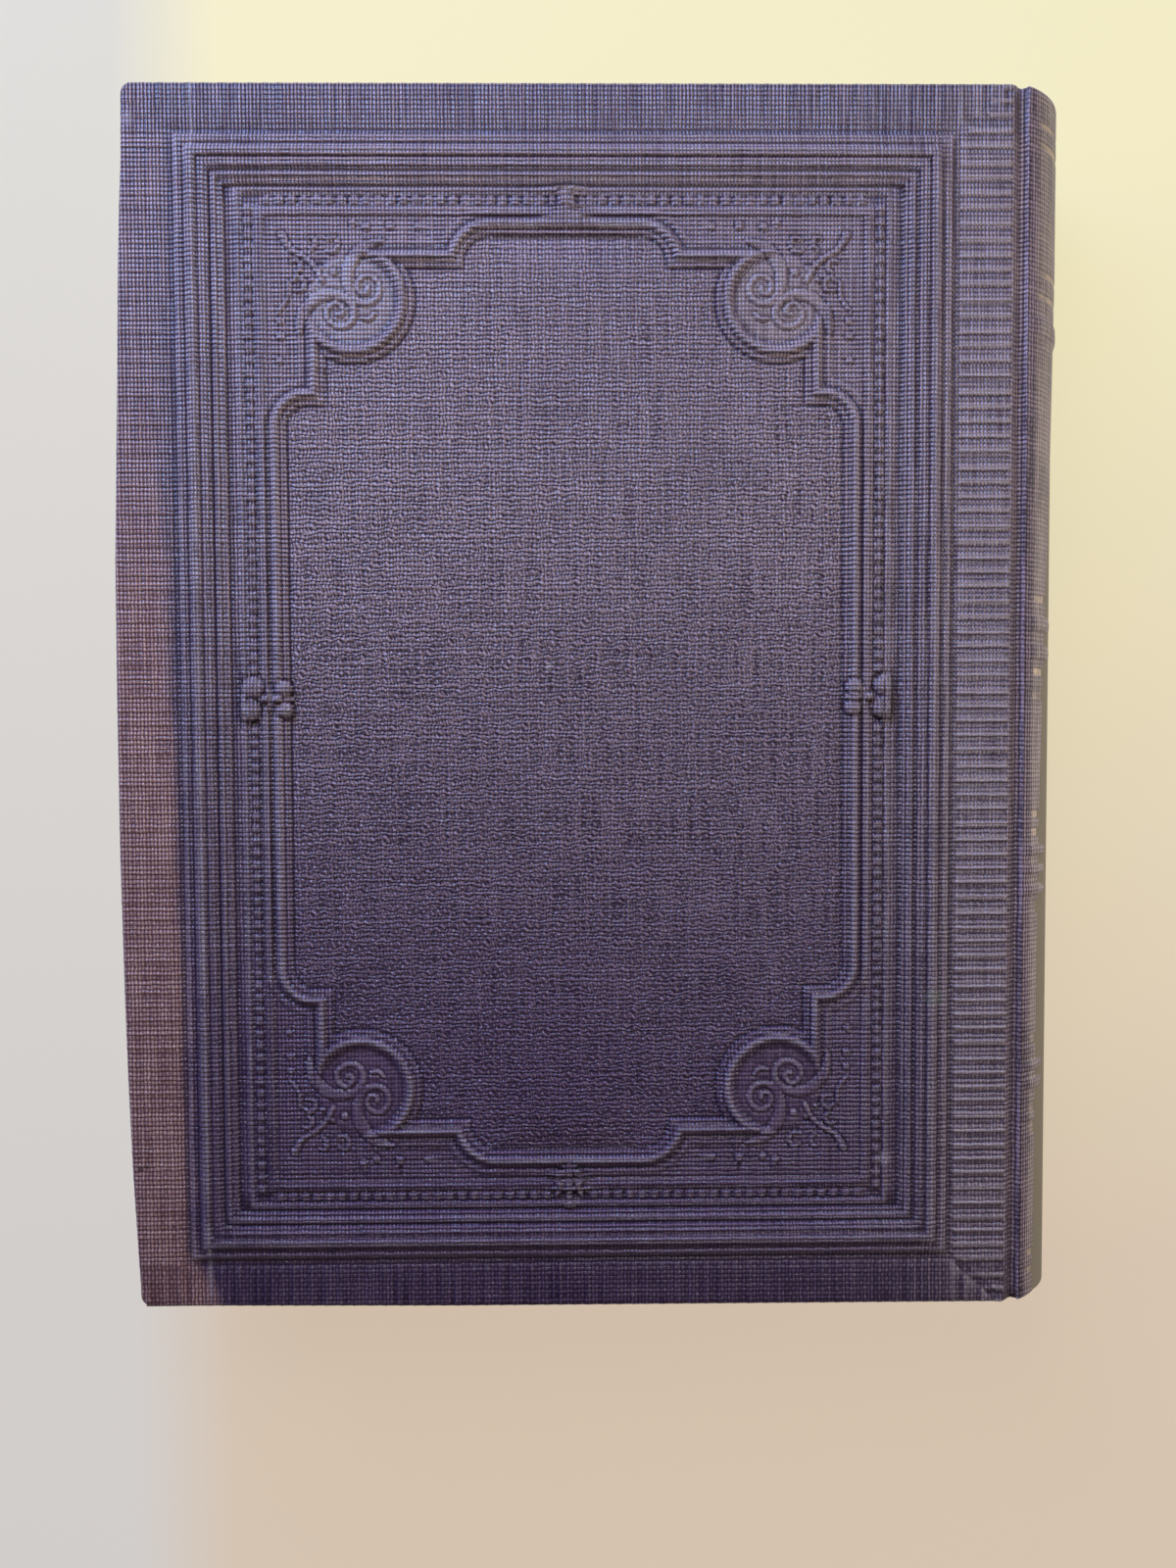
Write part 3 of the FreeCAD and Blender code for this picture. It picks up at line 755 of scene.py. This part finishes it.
def place_axes(tree):
    """Object coordinates in millimetres: the vector and its three parts."""
    where = node(tree, "ShaderNodeTexCoord").outputs["Object"]
    scaled = node(tree, "ShaderNodeVectorMath", {0: where, "Scale": 1000.0}, operation="SCALE").outputs[0]
    parts = node(tree, "ShaderNodeSeparateXYZ", {0: scaled}).outputs
    return scaled, parts[0], parts[1], parts[2]


def noise(tree, place, stretch, detail=2.0, rough=0.5):
    """Noise with its own number of waves per millimetre along each axis."""
    squeezed = node(tree, "ShaderNodeVectorMath", {0: place, 1: stretch}, operation="MULTIPLY").outputs[0]
    texture = node(tree, "ShaderNodeTexNoise", {"Vector": squeezed, "Scale": 1.0, "Detail": detail,
                                                "Roughness": rough})
    return texture.outputs["Fac"]


def weave(tree, place, across, along, wander, weft_share):
    """Height of a plain weave, from 0 to about 1.2, of uneven threads that wander this many millimetres."""
    drift = remap(tree, noise(tree, place, (0.55, 0.55, 0.55), 2.0), 0.25, 0.75, -1.0, 1.0)
    shift = calc(tree, "MULTIPLY", drift, wander)
    first = calc(tree, "ADD", across, shift)
    warp = calc(tree, "SINE", calc(tree, "MULTIPLY", first, math.pi / warp_pitch))
    second = calc(tree, "SUBTRACT", along, shift)
    weft = calc(tree, "SINE", calc(tree, "MULTIPLY", second, math.pi / weft_pitch))
    over = calc(tree, "MULTIPLY", calc(tree, "MULTIPLY", warp, weft), wander)
    thick_warp = remap(tree, noise(tree, place, (1.35, 0.06, 0.3), 2.0), 0.3, 0.7, 0.3, 1.1)
    thick_weft = remap(tree, noise(tree, place, (0.06, 1.05, 0.3), 2.0), 0.3, 0.7, 0.5, 1.05)
    warp = calc(tree, "MULTIPLY", calc(tree, "ABSOLUTE", warp), thick_warp)
    thick_weft = calc(tree, "MULTIPLY", thick_weft, weft_share)
    weft = calc(tree, "MULTIPLY", calc(tree, "ABSOLUTE", weft), thick_weft)
    return calc(tree, "ADD", calc(tree, "MULTIPLY_ADD", over, 0.5, calc(tree, "MULTIPLY", warp, 0.6)),
                calc(tree, "MULTIPLY", weft, 0.6))


def near_spot(tree, x, y, spot):
    """Share from 0 to 1 inside a soft round mark."""
    cx, cy, radius = spot
    dx = calc(tree, "SUBTRACT", x, cx)
    dy = calc(tree, "SUBTRACT", y, cy)
    square = calc(tree, "ADD", calc(tree, "MULTIPLY", dx, dx), calc(tree, "MULTIPLY", dy, dy))
    return remap(tree, calc(tree, "SQRT", square), radius, 0.3 * radius)


def cover_cloth_material():
    # Dark purple book cloth of uneven linen thread, stamped and calendered, with a low gloss
    material, tree, shader = new_material("book_cloth_purple_linen", colour("5C5061"), 0.42)
    place, x, y, _ = place_axes(tree)
    across = calc(tree, "SUBTRACT", x, cover_middle_x)
    lift, panel, disc = [node(tree, "ShaderNodeAttribute", attribute_name=kind).outputs["Fac"]
                         for kind in ("lift", "panel", "disc")]
    at_ends = remap(tree, calc(tree, "ABSOLUTE", y), 115.0, 116.5, 1.0, 0.55)
    wander = remap(tree, y, 90.0, 10.0, 0.3, 0.6)
    wander = calc(tree, "MULTIPLY", remap(tree, panel, 0.0, 1.0, 0.2, 0.8), wander)
    at_sides = remap(tree, calc(tree, "ABSOLUTE", across), 60.0, 62.0, 1.0, 0.72)
    threads = weave(tree, place, x, y, wander, calc(tree, "MULTIPLY", at_ends, at_sides))
    slow = noise(tree, place, (0.02, 0.012, 0.02), 3.0)
    patch = noise(tree, place, (0.12, 0.12, 0.12), 4.0, 0.6)
    shade = remap(tree, threads, 0.26, 0.82)

    base = blended(tree, shade, colour("2A1430"), colour("B49CA4"))
    base = blended(tree, remap(tree, slow, 0.35, 0.7, 0.0, 0.3), base, colour("54455A"))
    base = blended(tree, calc(tree, "MULTIPLY", disc, 0.3), base, colour("85797F"))

    # Deeper purple towards the foot: partly cloth that has faded less there, partly painted shade for the
    # sheen that falls off towards the foot
    unfaded_and_painted_shade = calc(tree, "MULTIPLY", remap(tree, y, 40.0, -75.0), remap(tree, across, 55.0, 80.0, 1.0, 0.3))
    unfaded_and_painted_shade = calc(tree, "MULTIPLY", unfaded_and_painted_shade, remap(tree, slow, 0.3, 0.7, 1.0, 0.8))
    purple = blended(tree, shade, colour("1E042C"), colour("583664"))
    base = blended(tree, calc(tree, "MULTIPLY", unfaded_and_painted_shade, 0.92), base, purple)

    # Faded brown along the fore edge, wider towards the foot
    edge = remap(tree, y, 60.0, -60.0, -84.0, -79.5)
    edge = calc(tree, "ADD", edge, remap(tree, y, -112.0, -124.0, 0.0, 6.0))
    edge = calc(tree, "MULTIPLY_ADD", patch, 5.0, calc(tree, "SUBTRACT", edge, across))
    faded = calc(tree, "MULTIPLY", remap(tree, edge, 1.2, 4.2), remap(tree, y, 75.0, 15.0, 0.15, 1.0))
    brown = blended(tree, shade, colour("5E3840"), colour("CCA29A"))
    base = blended(tree, calc(tree, "MULTIPLY", faded, 0.9), base, brown)

    # Painted shade: creases are painted darker. Ridges are painted paler, most of all the crest beside the
    # fore edge, partly as rubbing wear and partly as a painted highlight
    base = blended(tree, remap(tree, lift, -0.02, -0.24, 0.0, 0.8), base, colour("240E30"))
    # Painted highlight along with rubbing wear on the ridges and on the crest beside the fore edge
    rub_and_painted_highlight = calc(tree, "MULTIPLY", remap(tree, lift, 0.04, 0.3), remap(tree, patch, 0.35, 0.7, 0.2, 0.6))
    crest = calc(tree, "ABSOLUTE", calc(tree, "SUBTRACT", across, frame_left + 4.0))
    wear_and_painted_highlight = calc(tree, "MULTIPLY", remap(tree, crest, 0.6, 0.2), remap(tree, patch, 0.3, 0.6, 0.1, 0.55))
    base = blended(tree, calc(tree, "MAXIMUM", rub_and_painted_highlight, wear_and_painted_highlight), base, colour("AA9DA8"))

    # Painted highlight on the rib crests beside the joint, and there are small marks
    painted_rib_highlight = remap(tree, across, 76.5, 79.0, 0.0, 0.4)
    painted_rib_highlight = calc(tree, "MULTIPLY", remap(tree, lift, 0.0, 0.12, 0.1, 1.0), painted_rib_highlight)
    base = blended(tree, painted_rib_highlight, base, colour("BEACAC"))
    for spot, share, code in cover_marks:
        mark = calc(tree, "MULTIPLY", near_spot(tree, across, y, spot), share)
        base = blended(tree, mark, base, colour(code))
    tree.links.new(base, shader.inputs["Base Color"])

    pressed = remap(tree, disc, 0.0, 1.0, 1.0, 0.5)
    bump = node(tree, "ShaderNodeBump", {"Strength": pressed, "Distance": 0.00045, "Height": threads})
    tree.links.new(bump.outputs[0], shader.inputs["Normal"])
    shader.inputs["Sheen Weight"].default_value = 0.15
    shader.inputs["Sheen Tint"].default_value = colour("B8B4E0")
    shader.inputs["Sheen Roughness"].default_value = 0.45
    shader.inputs["Specular IOR Level"].default_value = 0.75
    return material


def spine_cloth_material():
    # The same cloth on the spine, painted grey on its round, partly as wear and partly as a painted sheen,
    # with rubbed gilt rules stamped across it
    material, tree, shader = new_material("book_cloth_spine_gilt_rules", colour("5C5061"), 0.5)
    place, x, y, z = place_axes(tree)
    rise = calc(tree, "SUBTRACT", z, book_middle)
    turn = calc(tree, "ARCTAN2", rise, calc(tree, "SUBTRACT", x, back_centre))
    threads = weave(tree, place, calc(tree, "MULTIPLY", turn, back_radius), y, 0.12, 0.7)
    patch = noise(tree, place, (0.2, 0.2, 0.2), 4.0, 0.6)
    off_middle = calc(tree, "ABSOLUTE", rise)
    pressed = remap(tree, off_middle, 14.6, 13.6)
    shade = remap(tree, threads, 0.28, 0.8)
    # Painted sheen along with wear: the middle and the outer face of the round are painted grey
    wear_and_painted_highlight = calc(tree, "MAXIMUM", remap(tree, x, back_centre + 13.0, back_centre + 16.0), pressed)
    base = blended(tree, shade, colour("200E28"), colour("A88E9C"))
    grey = blended(tree, shade, colour("7A6C6C"), colour("C0B2A8"))
    wear_and_painted_highlight = calc(tree, "MULTIPLY", wear_and_painted_highlight, remap(tree, patch, 0.3, 0.7, 0.5, 0.85))
    base = blended(tree, wear_and_painted_highlight, base, grey)
    gilt = 0.0
    for low, high in gilt_rules:
        away = calc(tree, "ABSOLUTE", calc(tree, "SUBTRACT", y, (low + high) / 2))
        gilt = calc(tree, "MAXIMUM", gilt, calc(tree, "LESS_THAN", away, (high - low) / 2))
    gilt = calc(tree, "MULTIPLY", gilt, calc(tree, "LESS_THAN", off_middle, 13.8))
    gilt = calc(tree, "MULTIPLY", gilt, remap(tree, patch, 0.42, 0.6, 0.1, 0.8))
    for spot, share, code in joint_marks:
        mark = calc(tree, "MULTIPLY", near_spot(tree, x, y, spot), share)
        base = blended(tree, mark, base, colour(code))
    base = blended(tree, gilt, base, colour("CDB8A0"))
    tree.links.new(base, shader.inputs["Base Color"])
    tree.links.new(calc(tree, "MULTIPLY", gilt, 0.5), shader.inputs["Metallic"])
    tree.links.new(remap(tree, gilt, 0.0, 1.0, 0.52, 0.5), shader.inputs["Roughness"])
    depth = remap(tree, pressed, 0.0, 1.0, 1.0, 0.5)
    bump = node(tree, "ShaderNodeBump", {"Strength": depth, "Distance": 0.0003, "Height": threads})
    tree.links.new(bump.outputs[0], shader.inputs["Normal"])
    shader.inputs["Sheen Weight"].default_value = 0.25
    shader.inputs["Sheen Tint"].default_value = colour("AEB6E8")
    shader.inputs["Sheen Roughness"].default_value = 0.4
    return material


def page_material():
    # Aged uncoated book paper, seen at its trimmed edges
    material, tree, shader = new_material("paper_aged_trimmed_edges", colour("D8C7A0"), 0.85)
    place = place_axes(tree)[0]
    leaves = noise(tree, place, (0.02, 0.02, 7.0), 4.0, 0.7)
    gatherings = noise(tree, place, (0.01, 0.01, 0.6), 2.0)
    stain = noise(tree, place, (0.03, 0.03, 0.1), 4.0)
    base = blended(tree, remap(tree, leaves, 0.3, 0.7), colour("A8926A"), colour("E6D8B6"))
    base = blended(tree, remap(tree, gatherings, 0.3, 0.7, 0.0, 0.35), base, colour("9C8459"))
    base = blended(tree, remap(tree, stain, 0.4, 0.75, 0.0, 0.4), base, colour("B8996A"))
    tree.links.new(base, shader.inputs["Base Color"])
    bump = node(tree, "ShaderNodeBump", {"Strength": 0.8, "Distance": 0.00025, "Height": leaves})
    tree.links.new(bump.outputs[0], shader.inputs["Normal"])
    return material


def endpaper_material():
    # Plain cream endpaper with a little foxing
    material, tree, shader = new_material("endpaper_cream_foxed", colour("DCCDAA"), 0.8)
    place = place_axes(tree)[0]
    fibres = noise(tree, place, (1.2, 0.5, 1.0), 3.0)
    spots = noise(tree, place, (0.16, 0.16, 0.16), 2.0)
    age = noise(tree, place, (0.015, 0.015, 0.015), 3.0)
    base = blended(tree, remap(tree, age, 0.3, 0.7), colour("D2BF96"), colour("E3D6B8"))
    base = blended(tree, remap(tree, spots, 0.68, 0.78, 0.0, 0.5), base, colour("A9793F"))
    tree.links.new(base, shader.inputs["Base Color"])
    bump = node(tree, "ShaderNodeBump", {"Strength": 0.3, "Distance": 0.0001, "Height": fibres})
    tree.links.new(bump.outputs[0], shader.inputs["Normal"])
    return material


def endband_material():
    # Machine-made band of cream and faded purple silk
    material, tree, shader = new_material("silk_endband_striped", colour("CDBB98"), 0.55)
    _, x, _, z = place_axes(tree)
    rise = calc(tree, "SUBTRACT", z, book_middle)
    turn = calc(tree, "ARCTAN2", rise, calc(tree, "SUBTRACT", x, back_centre))
    around = calc(tree, "MULTIPLY", turn, band_radius)
    stripe = calc(tree, "SINE", calc(tree, "MULTIPLY", around, 2 * math.pi / 3.2))
    thread = calc(tree, "SINE", calc(tree, "MULTIPLY", around, 2 * math.pi / 0.4))
    base = blended(tree, calc(tree, "GREATER_THAN", stripe, 0.1), colour("D6C7A6"), colour("6C4A5E"))
    tree.links.new(base, shader.inputs["Base Color"])
    bump = node(tree, "ShaderNodeBump", {"Strength": 0.7, "Distance": 0.0002, "Height": thread})
    tree.links.new(bump.outputs[0], shader.inputs["Normal"])
    shader.inputs["Sheen Weight"].default_value = 0.3
    return material


def plain_material(name, code, roughness):
    return new_material(name, colour(code), roughness)[0]


# Covers and their place in the book

cloth = cover_cloth_material()
vertices, faces, kinds = make_cover_data()
xs = np.array([v[0] for v in vertices])
ys = np.array([v[1] for v in vertices])
zs = np.array([v[2] for v in vertices])
xs, ys = bowed(xs, ys)
for body, side in (("rear_cover", 1), ("front_cover", -1)):
    level = margin_level + zs if side > 0 else book_thickness - margin_level - zs
    placed = list(zip(xs + cover_middle_x, ys, level))
    cover = mesh_object(body + "_cloth_piece", placed, faces, cloth, kinds)
    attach(cover, body)
    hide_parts(body + "_cloth")


# Spine


def spine_lift(y):
    """Height of the stamped bands over the round of the spine."""
    lift = 0.0
    for low, high in stamped_bands:
        middle = (low + high) / 2
        half = (high - low) / 2
        share = 1 - ((y - middle) / half) ** 2
        lift = max(lift, stamped_band_rise * math.sqrt(max(0.0, share)))
    for low, high in gilt_rules:
        if low - 0.2 < y < high + 0.2:
            lift -= gilt_rule_depth
    return lift


def spine_section(y, steps=44):
    """Section of the spine's cloth at this height of the book: outside, then back along the inside."""
    lift = spine_lift(y)
    lean = np.interp(y, [s[0] for s in spine_lean], [s[1] for s in spine_lean])
    end = board_height / 2 - abs(y)
    cap = 0.7 * (1 - math.sqrt(max(0.0, 1 - max(0.0, 1 - end / 1.2) ** 2)))
    half_turn = math.acos((shoulder_x - back_centre) / back_radius)
    outside = []
    inside = []
    for k in range(steps + 1):
        turn = -half_turn + 2 * half_turn * k / steps
        fade = min(1.0, 4 * (1 - abs(turn) / half_turn))
        reach = back_radius + lift * fade - cap * fade
        for ring, size in ((outside, reach), (inside, back_radius - spine_thickness - cap * fade)):
            x = back_centre + size * math.cos(turn)
            x -= lean * max(0.0, (x - shoulder_x) / spine_reach)
            ring.append((x, book_middle + size * math.sin(turn)))
    return outside + inside[::-1]


places = set()
for k in range(126):
    places.add(-125.0 + 2 * k)
for low, high in gilt_rules + stamped_bands:
    for step in (-0.3, -0.1, 0.0, 0.3, 0.8):
        places.add(round(low + step, 2))
        places.add(round(high - step, 2))
for step in (0.0, 0.1, 0.3, 0.6, 0.9, 1.2):
    places.add(125.0 - step)
    places.add(-125.0 + step)
places = sorted(places)
vertices = []
faces = []
for y in places:
    vertices.extend((x, y, z) for x, z in spine_section(y))
count = len(vertices) // len(places)
for row in range(len(places) - 1):
    for k in range(count):
        n = (k + 1) % count
        a = row * count
        faces.append((a + k, a + n, a + count + n, a + count + k))
half = count // 2
for row, flip in ((0, 1), (len(places) - 1, -1)):
    a = row * count
    for k in range(half - 1):
        quad = (a + k, a + k + 1, a + count - 2 - k, a + count - 1 - k)
        faces.append(quad[::flip])
spine = mesh_object("spine_cloth_piece", vertices, faces, spine_cloth_material())
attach(spine, "book_block")
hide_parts("spine_cloth")

# Cloth of the two joints
joint_section = (
    (82.2, 33.12), (82.9, 33.1), (83.4, 32.75), (84.0, 32.1), (84.8, 31.7), (85.6, 32.1), (86.3, 32.55),
    (86.3, 32.0), (85.6, 31.6), (84.8, 31.2), (84.0, 31.6), (83.2, 32.3), (82.8, 32.6), (82.2, 32.65),
)
for name, body, side in (("rear_joint_cloth", "rear_cover", 1), ("front_joint_cloth", "front_cover", -1)):
    section = [(x, z if side > 0 else book_thickness - z) for x, z in joint_section]
    rows = [-124.9 + 249.8 * k / 120 for k in range(121)]
    vertices, faces = swept(section, rows)
    strip = mesh_object(name, vertices, faces, cloth, [(0.0, 0.0, 0.0)] * len(vertices))
    level = 0.0329 if side > 0 else (book_thickness - 32.9) / 1000
    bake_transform(strip)

# Pages, whose cut edges are a little uneven
rng = np.random.default_rng(7)
section = []
steps = 64
for k in range(steps + 1):
    share = -1 + 2 * k / steps
    hollow = fore_hollow * (1 - share**2)
    section.append((page_fore + hollow + rng.uniform(0, 0.14), book_middle + page_half_thickness * share))
shoulder = math.sqrt(page_radius**2 - (shoulder_x - back_centre) ** 2)
section.append((page_shoulder_start, book_middle + page_half_thickness))
section.append((page_shoulder_end, book_middle + shoulder))
for k in range(25):
    turn = math.acos((shoulder_x - back_centre) / page_radius) * (1 - k / 12)
    section.append((back_centre + page_radius * math.cos(turn), book_middle + page_radius * math.sin(turn)))
section.append((page_shoulder_end, book_middle - shoulder))
section.append((page_shoulder_start, book_middle - page_half_thickness))
rows = [-page_half_height, -60.0, 0.0, 60.0, page_half_height]
vertices, faces = swept(section[::-1], rows)
pages = mesh_object("text_block_piece", vertices, faces, page_material())
for polygon in pages.data.polygons:
    polygon.use_smooth = abs(polygon.normal.y) < 0.5 and abs(polygon.normal.x) > 0.3
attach(pages, "book_block")
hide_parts("text_block")

# Endbands
silk = endband_material()
for name, side in (("head_band", 1), ("tail_band", -1)):
    vertices = []
    faces = []
    half_turn = math.acos((shoulder_x + 0.4 - back_centre) / band_radius)
    for k in range(61):
        turn = -half_turn + 2 * half_turn * k / 60
        for i in range(12):
            across = 2 * math.pi * i / 12
            reach = band_radius + band_depth / 2 * math.cos(across)
            y = side * (page_half_height + band_width / 2 + band_width / 2 * math.sin(across))
            vertices.append((back_centre + reach * math.cos(turn), y, book_middle + reach * math.sin(turn)))
    for row in range(60):
        for i in range(12):
            n = (i + 1) % 12
            a = row * 12
            faces.append((a + i, a + n, a + 12 + n, a + 12 + i))
    faces.append(tuple(range(12)))
    faces.append(tuple(range(731, 719, -1)))
    band = mesh_object(name + "_piece", vertices, faces, silk)
    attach(band, "book_block")
    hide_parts(name)

# CAD pieces that keep their own shape
endpaper = endpaper_material()
board = plain_material("millboard_grey_brown", "7A6F60", 0.85)
finishes = {
    "sewing_cords": plain_material("hemp_cord_natural", "A89468", 0.9),
    "spine_mull": plain_material("mull_starched_open_weave", "D2C8AE", 0.9),
    "spine_lining": plain_material("lining_paper_brown", "A18A63", 0.85),
    "spine_inlay": plain_material("inlay_card_grey", "8F8674", 0.85),
    "rear_board": board,
    "front_board": board,
    "rear_pastedown": endpaper,
    "front_pastedown": endpaper,
    "rear_flyleaf": endpaper,
    "front_flyleaf": endpaper,
}
for name, material in finishes.items():
    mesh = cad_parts[name].data
    mesh.materials.clear()
    mesh.materials.append(material)

# Floor, light and camera
floor_mesh = bpy.data.meshes.new("floor")
floor_mesh.from_pydata([(-1.5, -1.5, 0), (1.5, -1.5, 0), (1.5, 1.5, 0), (-1.5, 1.5, 0)], [], [(0, 1, 2, 3)])
floor_paint, tree, shader = new_material("floor_pale_painted_falloff", colour("D8CDB8"), 0.8)
_, x, y, _ = place_axes(tree)
# Painted light falloff: the floor is painted brighter and yellower towards the head and greyer at the far
# left
pale = blended(tree, remap(tree, y, -130.0, 130.0), colour("E3CFBA"), colour("FDF6CA"))
pale = blended(tree, remap(tree, x, -88.0, -112.0, 0.0, 0.85), pale, colour("DEDCDC"))
path = node(tree, "ShaderNodeLightPath").outputs
seen = calc(tree, "MAXIMUM", path["Is Camera Ray"], calc(tree, "MAXIMUM", path["Is Glossy Ray"],
                                                         path["Is Transmission Ray"]))
glow = node(tree, "ShaderNodeEmission", {"Color": pale})
look = node(tree, "ShaderNodeMixShader", {0: calc(tree, "MULTIPLY", seen, 0.8), 1: shader.outputs[0],
                                          2: glow.outputs[0]})
tree.links.new(look.outputs[0], tree.nodes["Material Output"].inputs[0])
floor_mesh.materials.append(floor_paint)
floor = bpy.data.objects.new("floor", floor_mesh)
bpy.context.collection.objects.link(floor)


def area_lamp(name, place, aim, size, power, tint):
    lamp = bpy.data.lights.new(name, "AREA")
    lamp.shape = "RECTANGLE"
    lamp.size, lamp.size_y = size
    lamp.energy = power
    lamp.color = tint
    obj = bpy.data.objects.new(name, lamp)
    obj.location = place
    obj.rotation_euler = (Vector(aim) - Vector(place)).to_track_quat("-Z", "Y").to_euler()
    bpy.context.collection.objects.link(obj)


area_lamp("window", (-0.3, 0.46, 0.27), (0.0, 0.03, 0.03), (0.4, 0.25), 4.4, (0.28, 0.46, 1.0))
area_lamp("room_light", (-0.15, 0.38, 0.48), (0.0, 0.0, 0.03), (0.35, 0.25), 2.0, (1.0, 0.87, 0.66))
area_lamp("far_side", (0.5, 0.0, 0.16), (0.095, 0.0, 0.015), (0.2, 0.4), 1.1, (1.0, 0.94, 0.9))

# Room light, brighter and cooler on the window's side
world = bpy.data.worlds.new("room")
world.use_nodes = True
tree = world.node_tree
way = node(tree, "ShaderNodeTexCoord").outputs["Generated"]
ahead = node(tree, "ShaderNodeSeparateXYZ", {0: way}).outputs[1]
room = blended(tree, remap(tree, ahead, -0.8, 0.8), (0.55, 0.42, 0.40, 1.0), (0.95, 1.05, 1.25, 1.0))
tree.links.new(room, tree.nodes["Background"].inputs[0])
tree.nodes["Background"].inputs[1].default_value = 0.08
bpy.context.scene.world = world

lens = bpy.data.cameras.new("camera")
lens.lens = camera_lens
lens.sensor_fit = "VERTICAL"
lens.sensor_height = 36.0
lens.clip_start = 0.01
eye = bpy.data.objects.new("camera", lens)
turn = Vector([math.radians(v) for v in camera_turn])
eye.rotation_mode = "QUATERNION"
eye.rotation_quaternion = Quaternion(turn.normalized(), turn.length).inverted()
eye.location = [v / 1000 for v in camera_place]
bpy.context.collection.objects.link(eye)
bpy.context.scene.camera = eye
bpy.context.scene.view_settings.view_transform = "Standard"
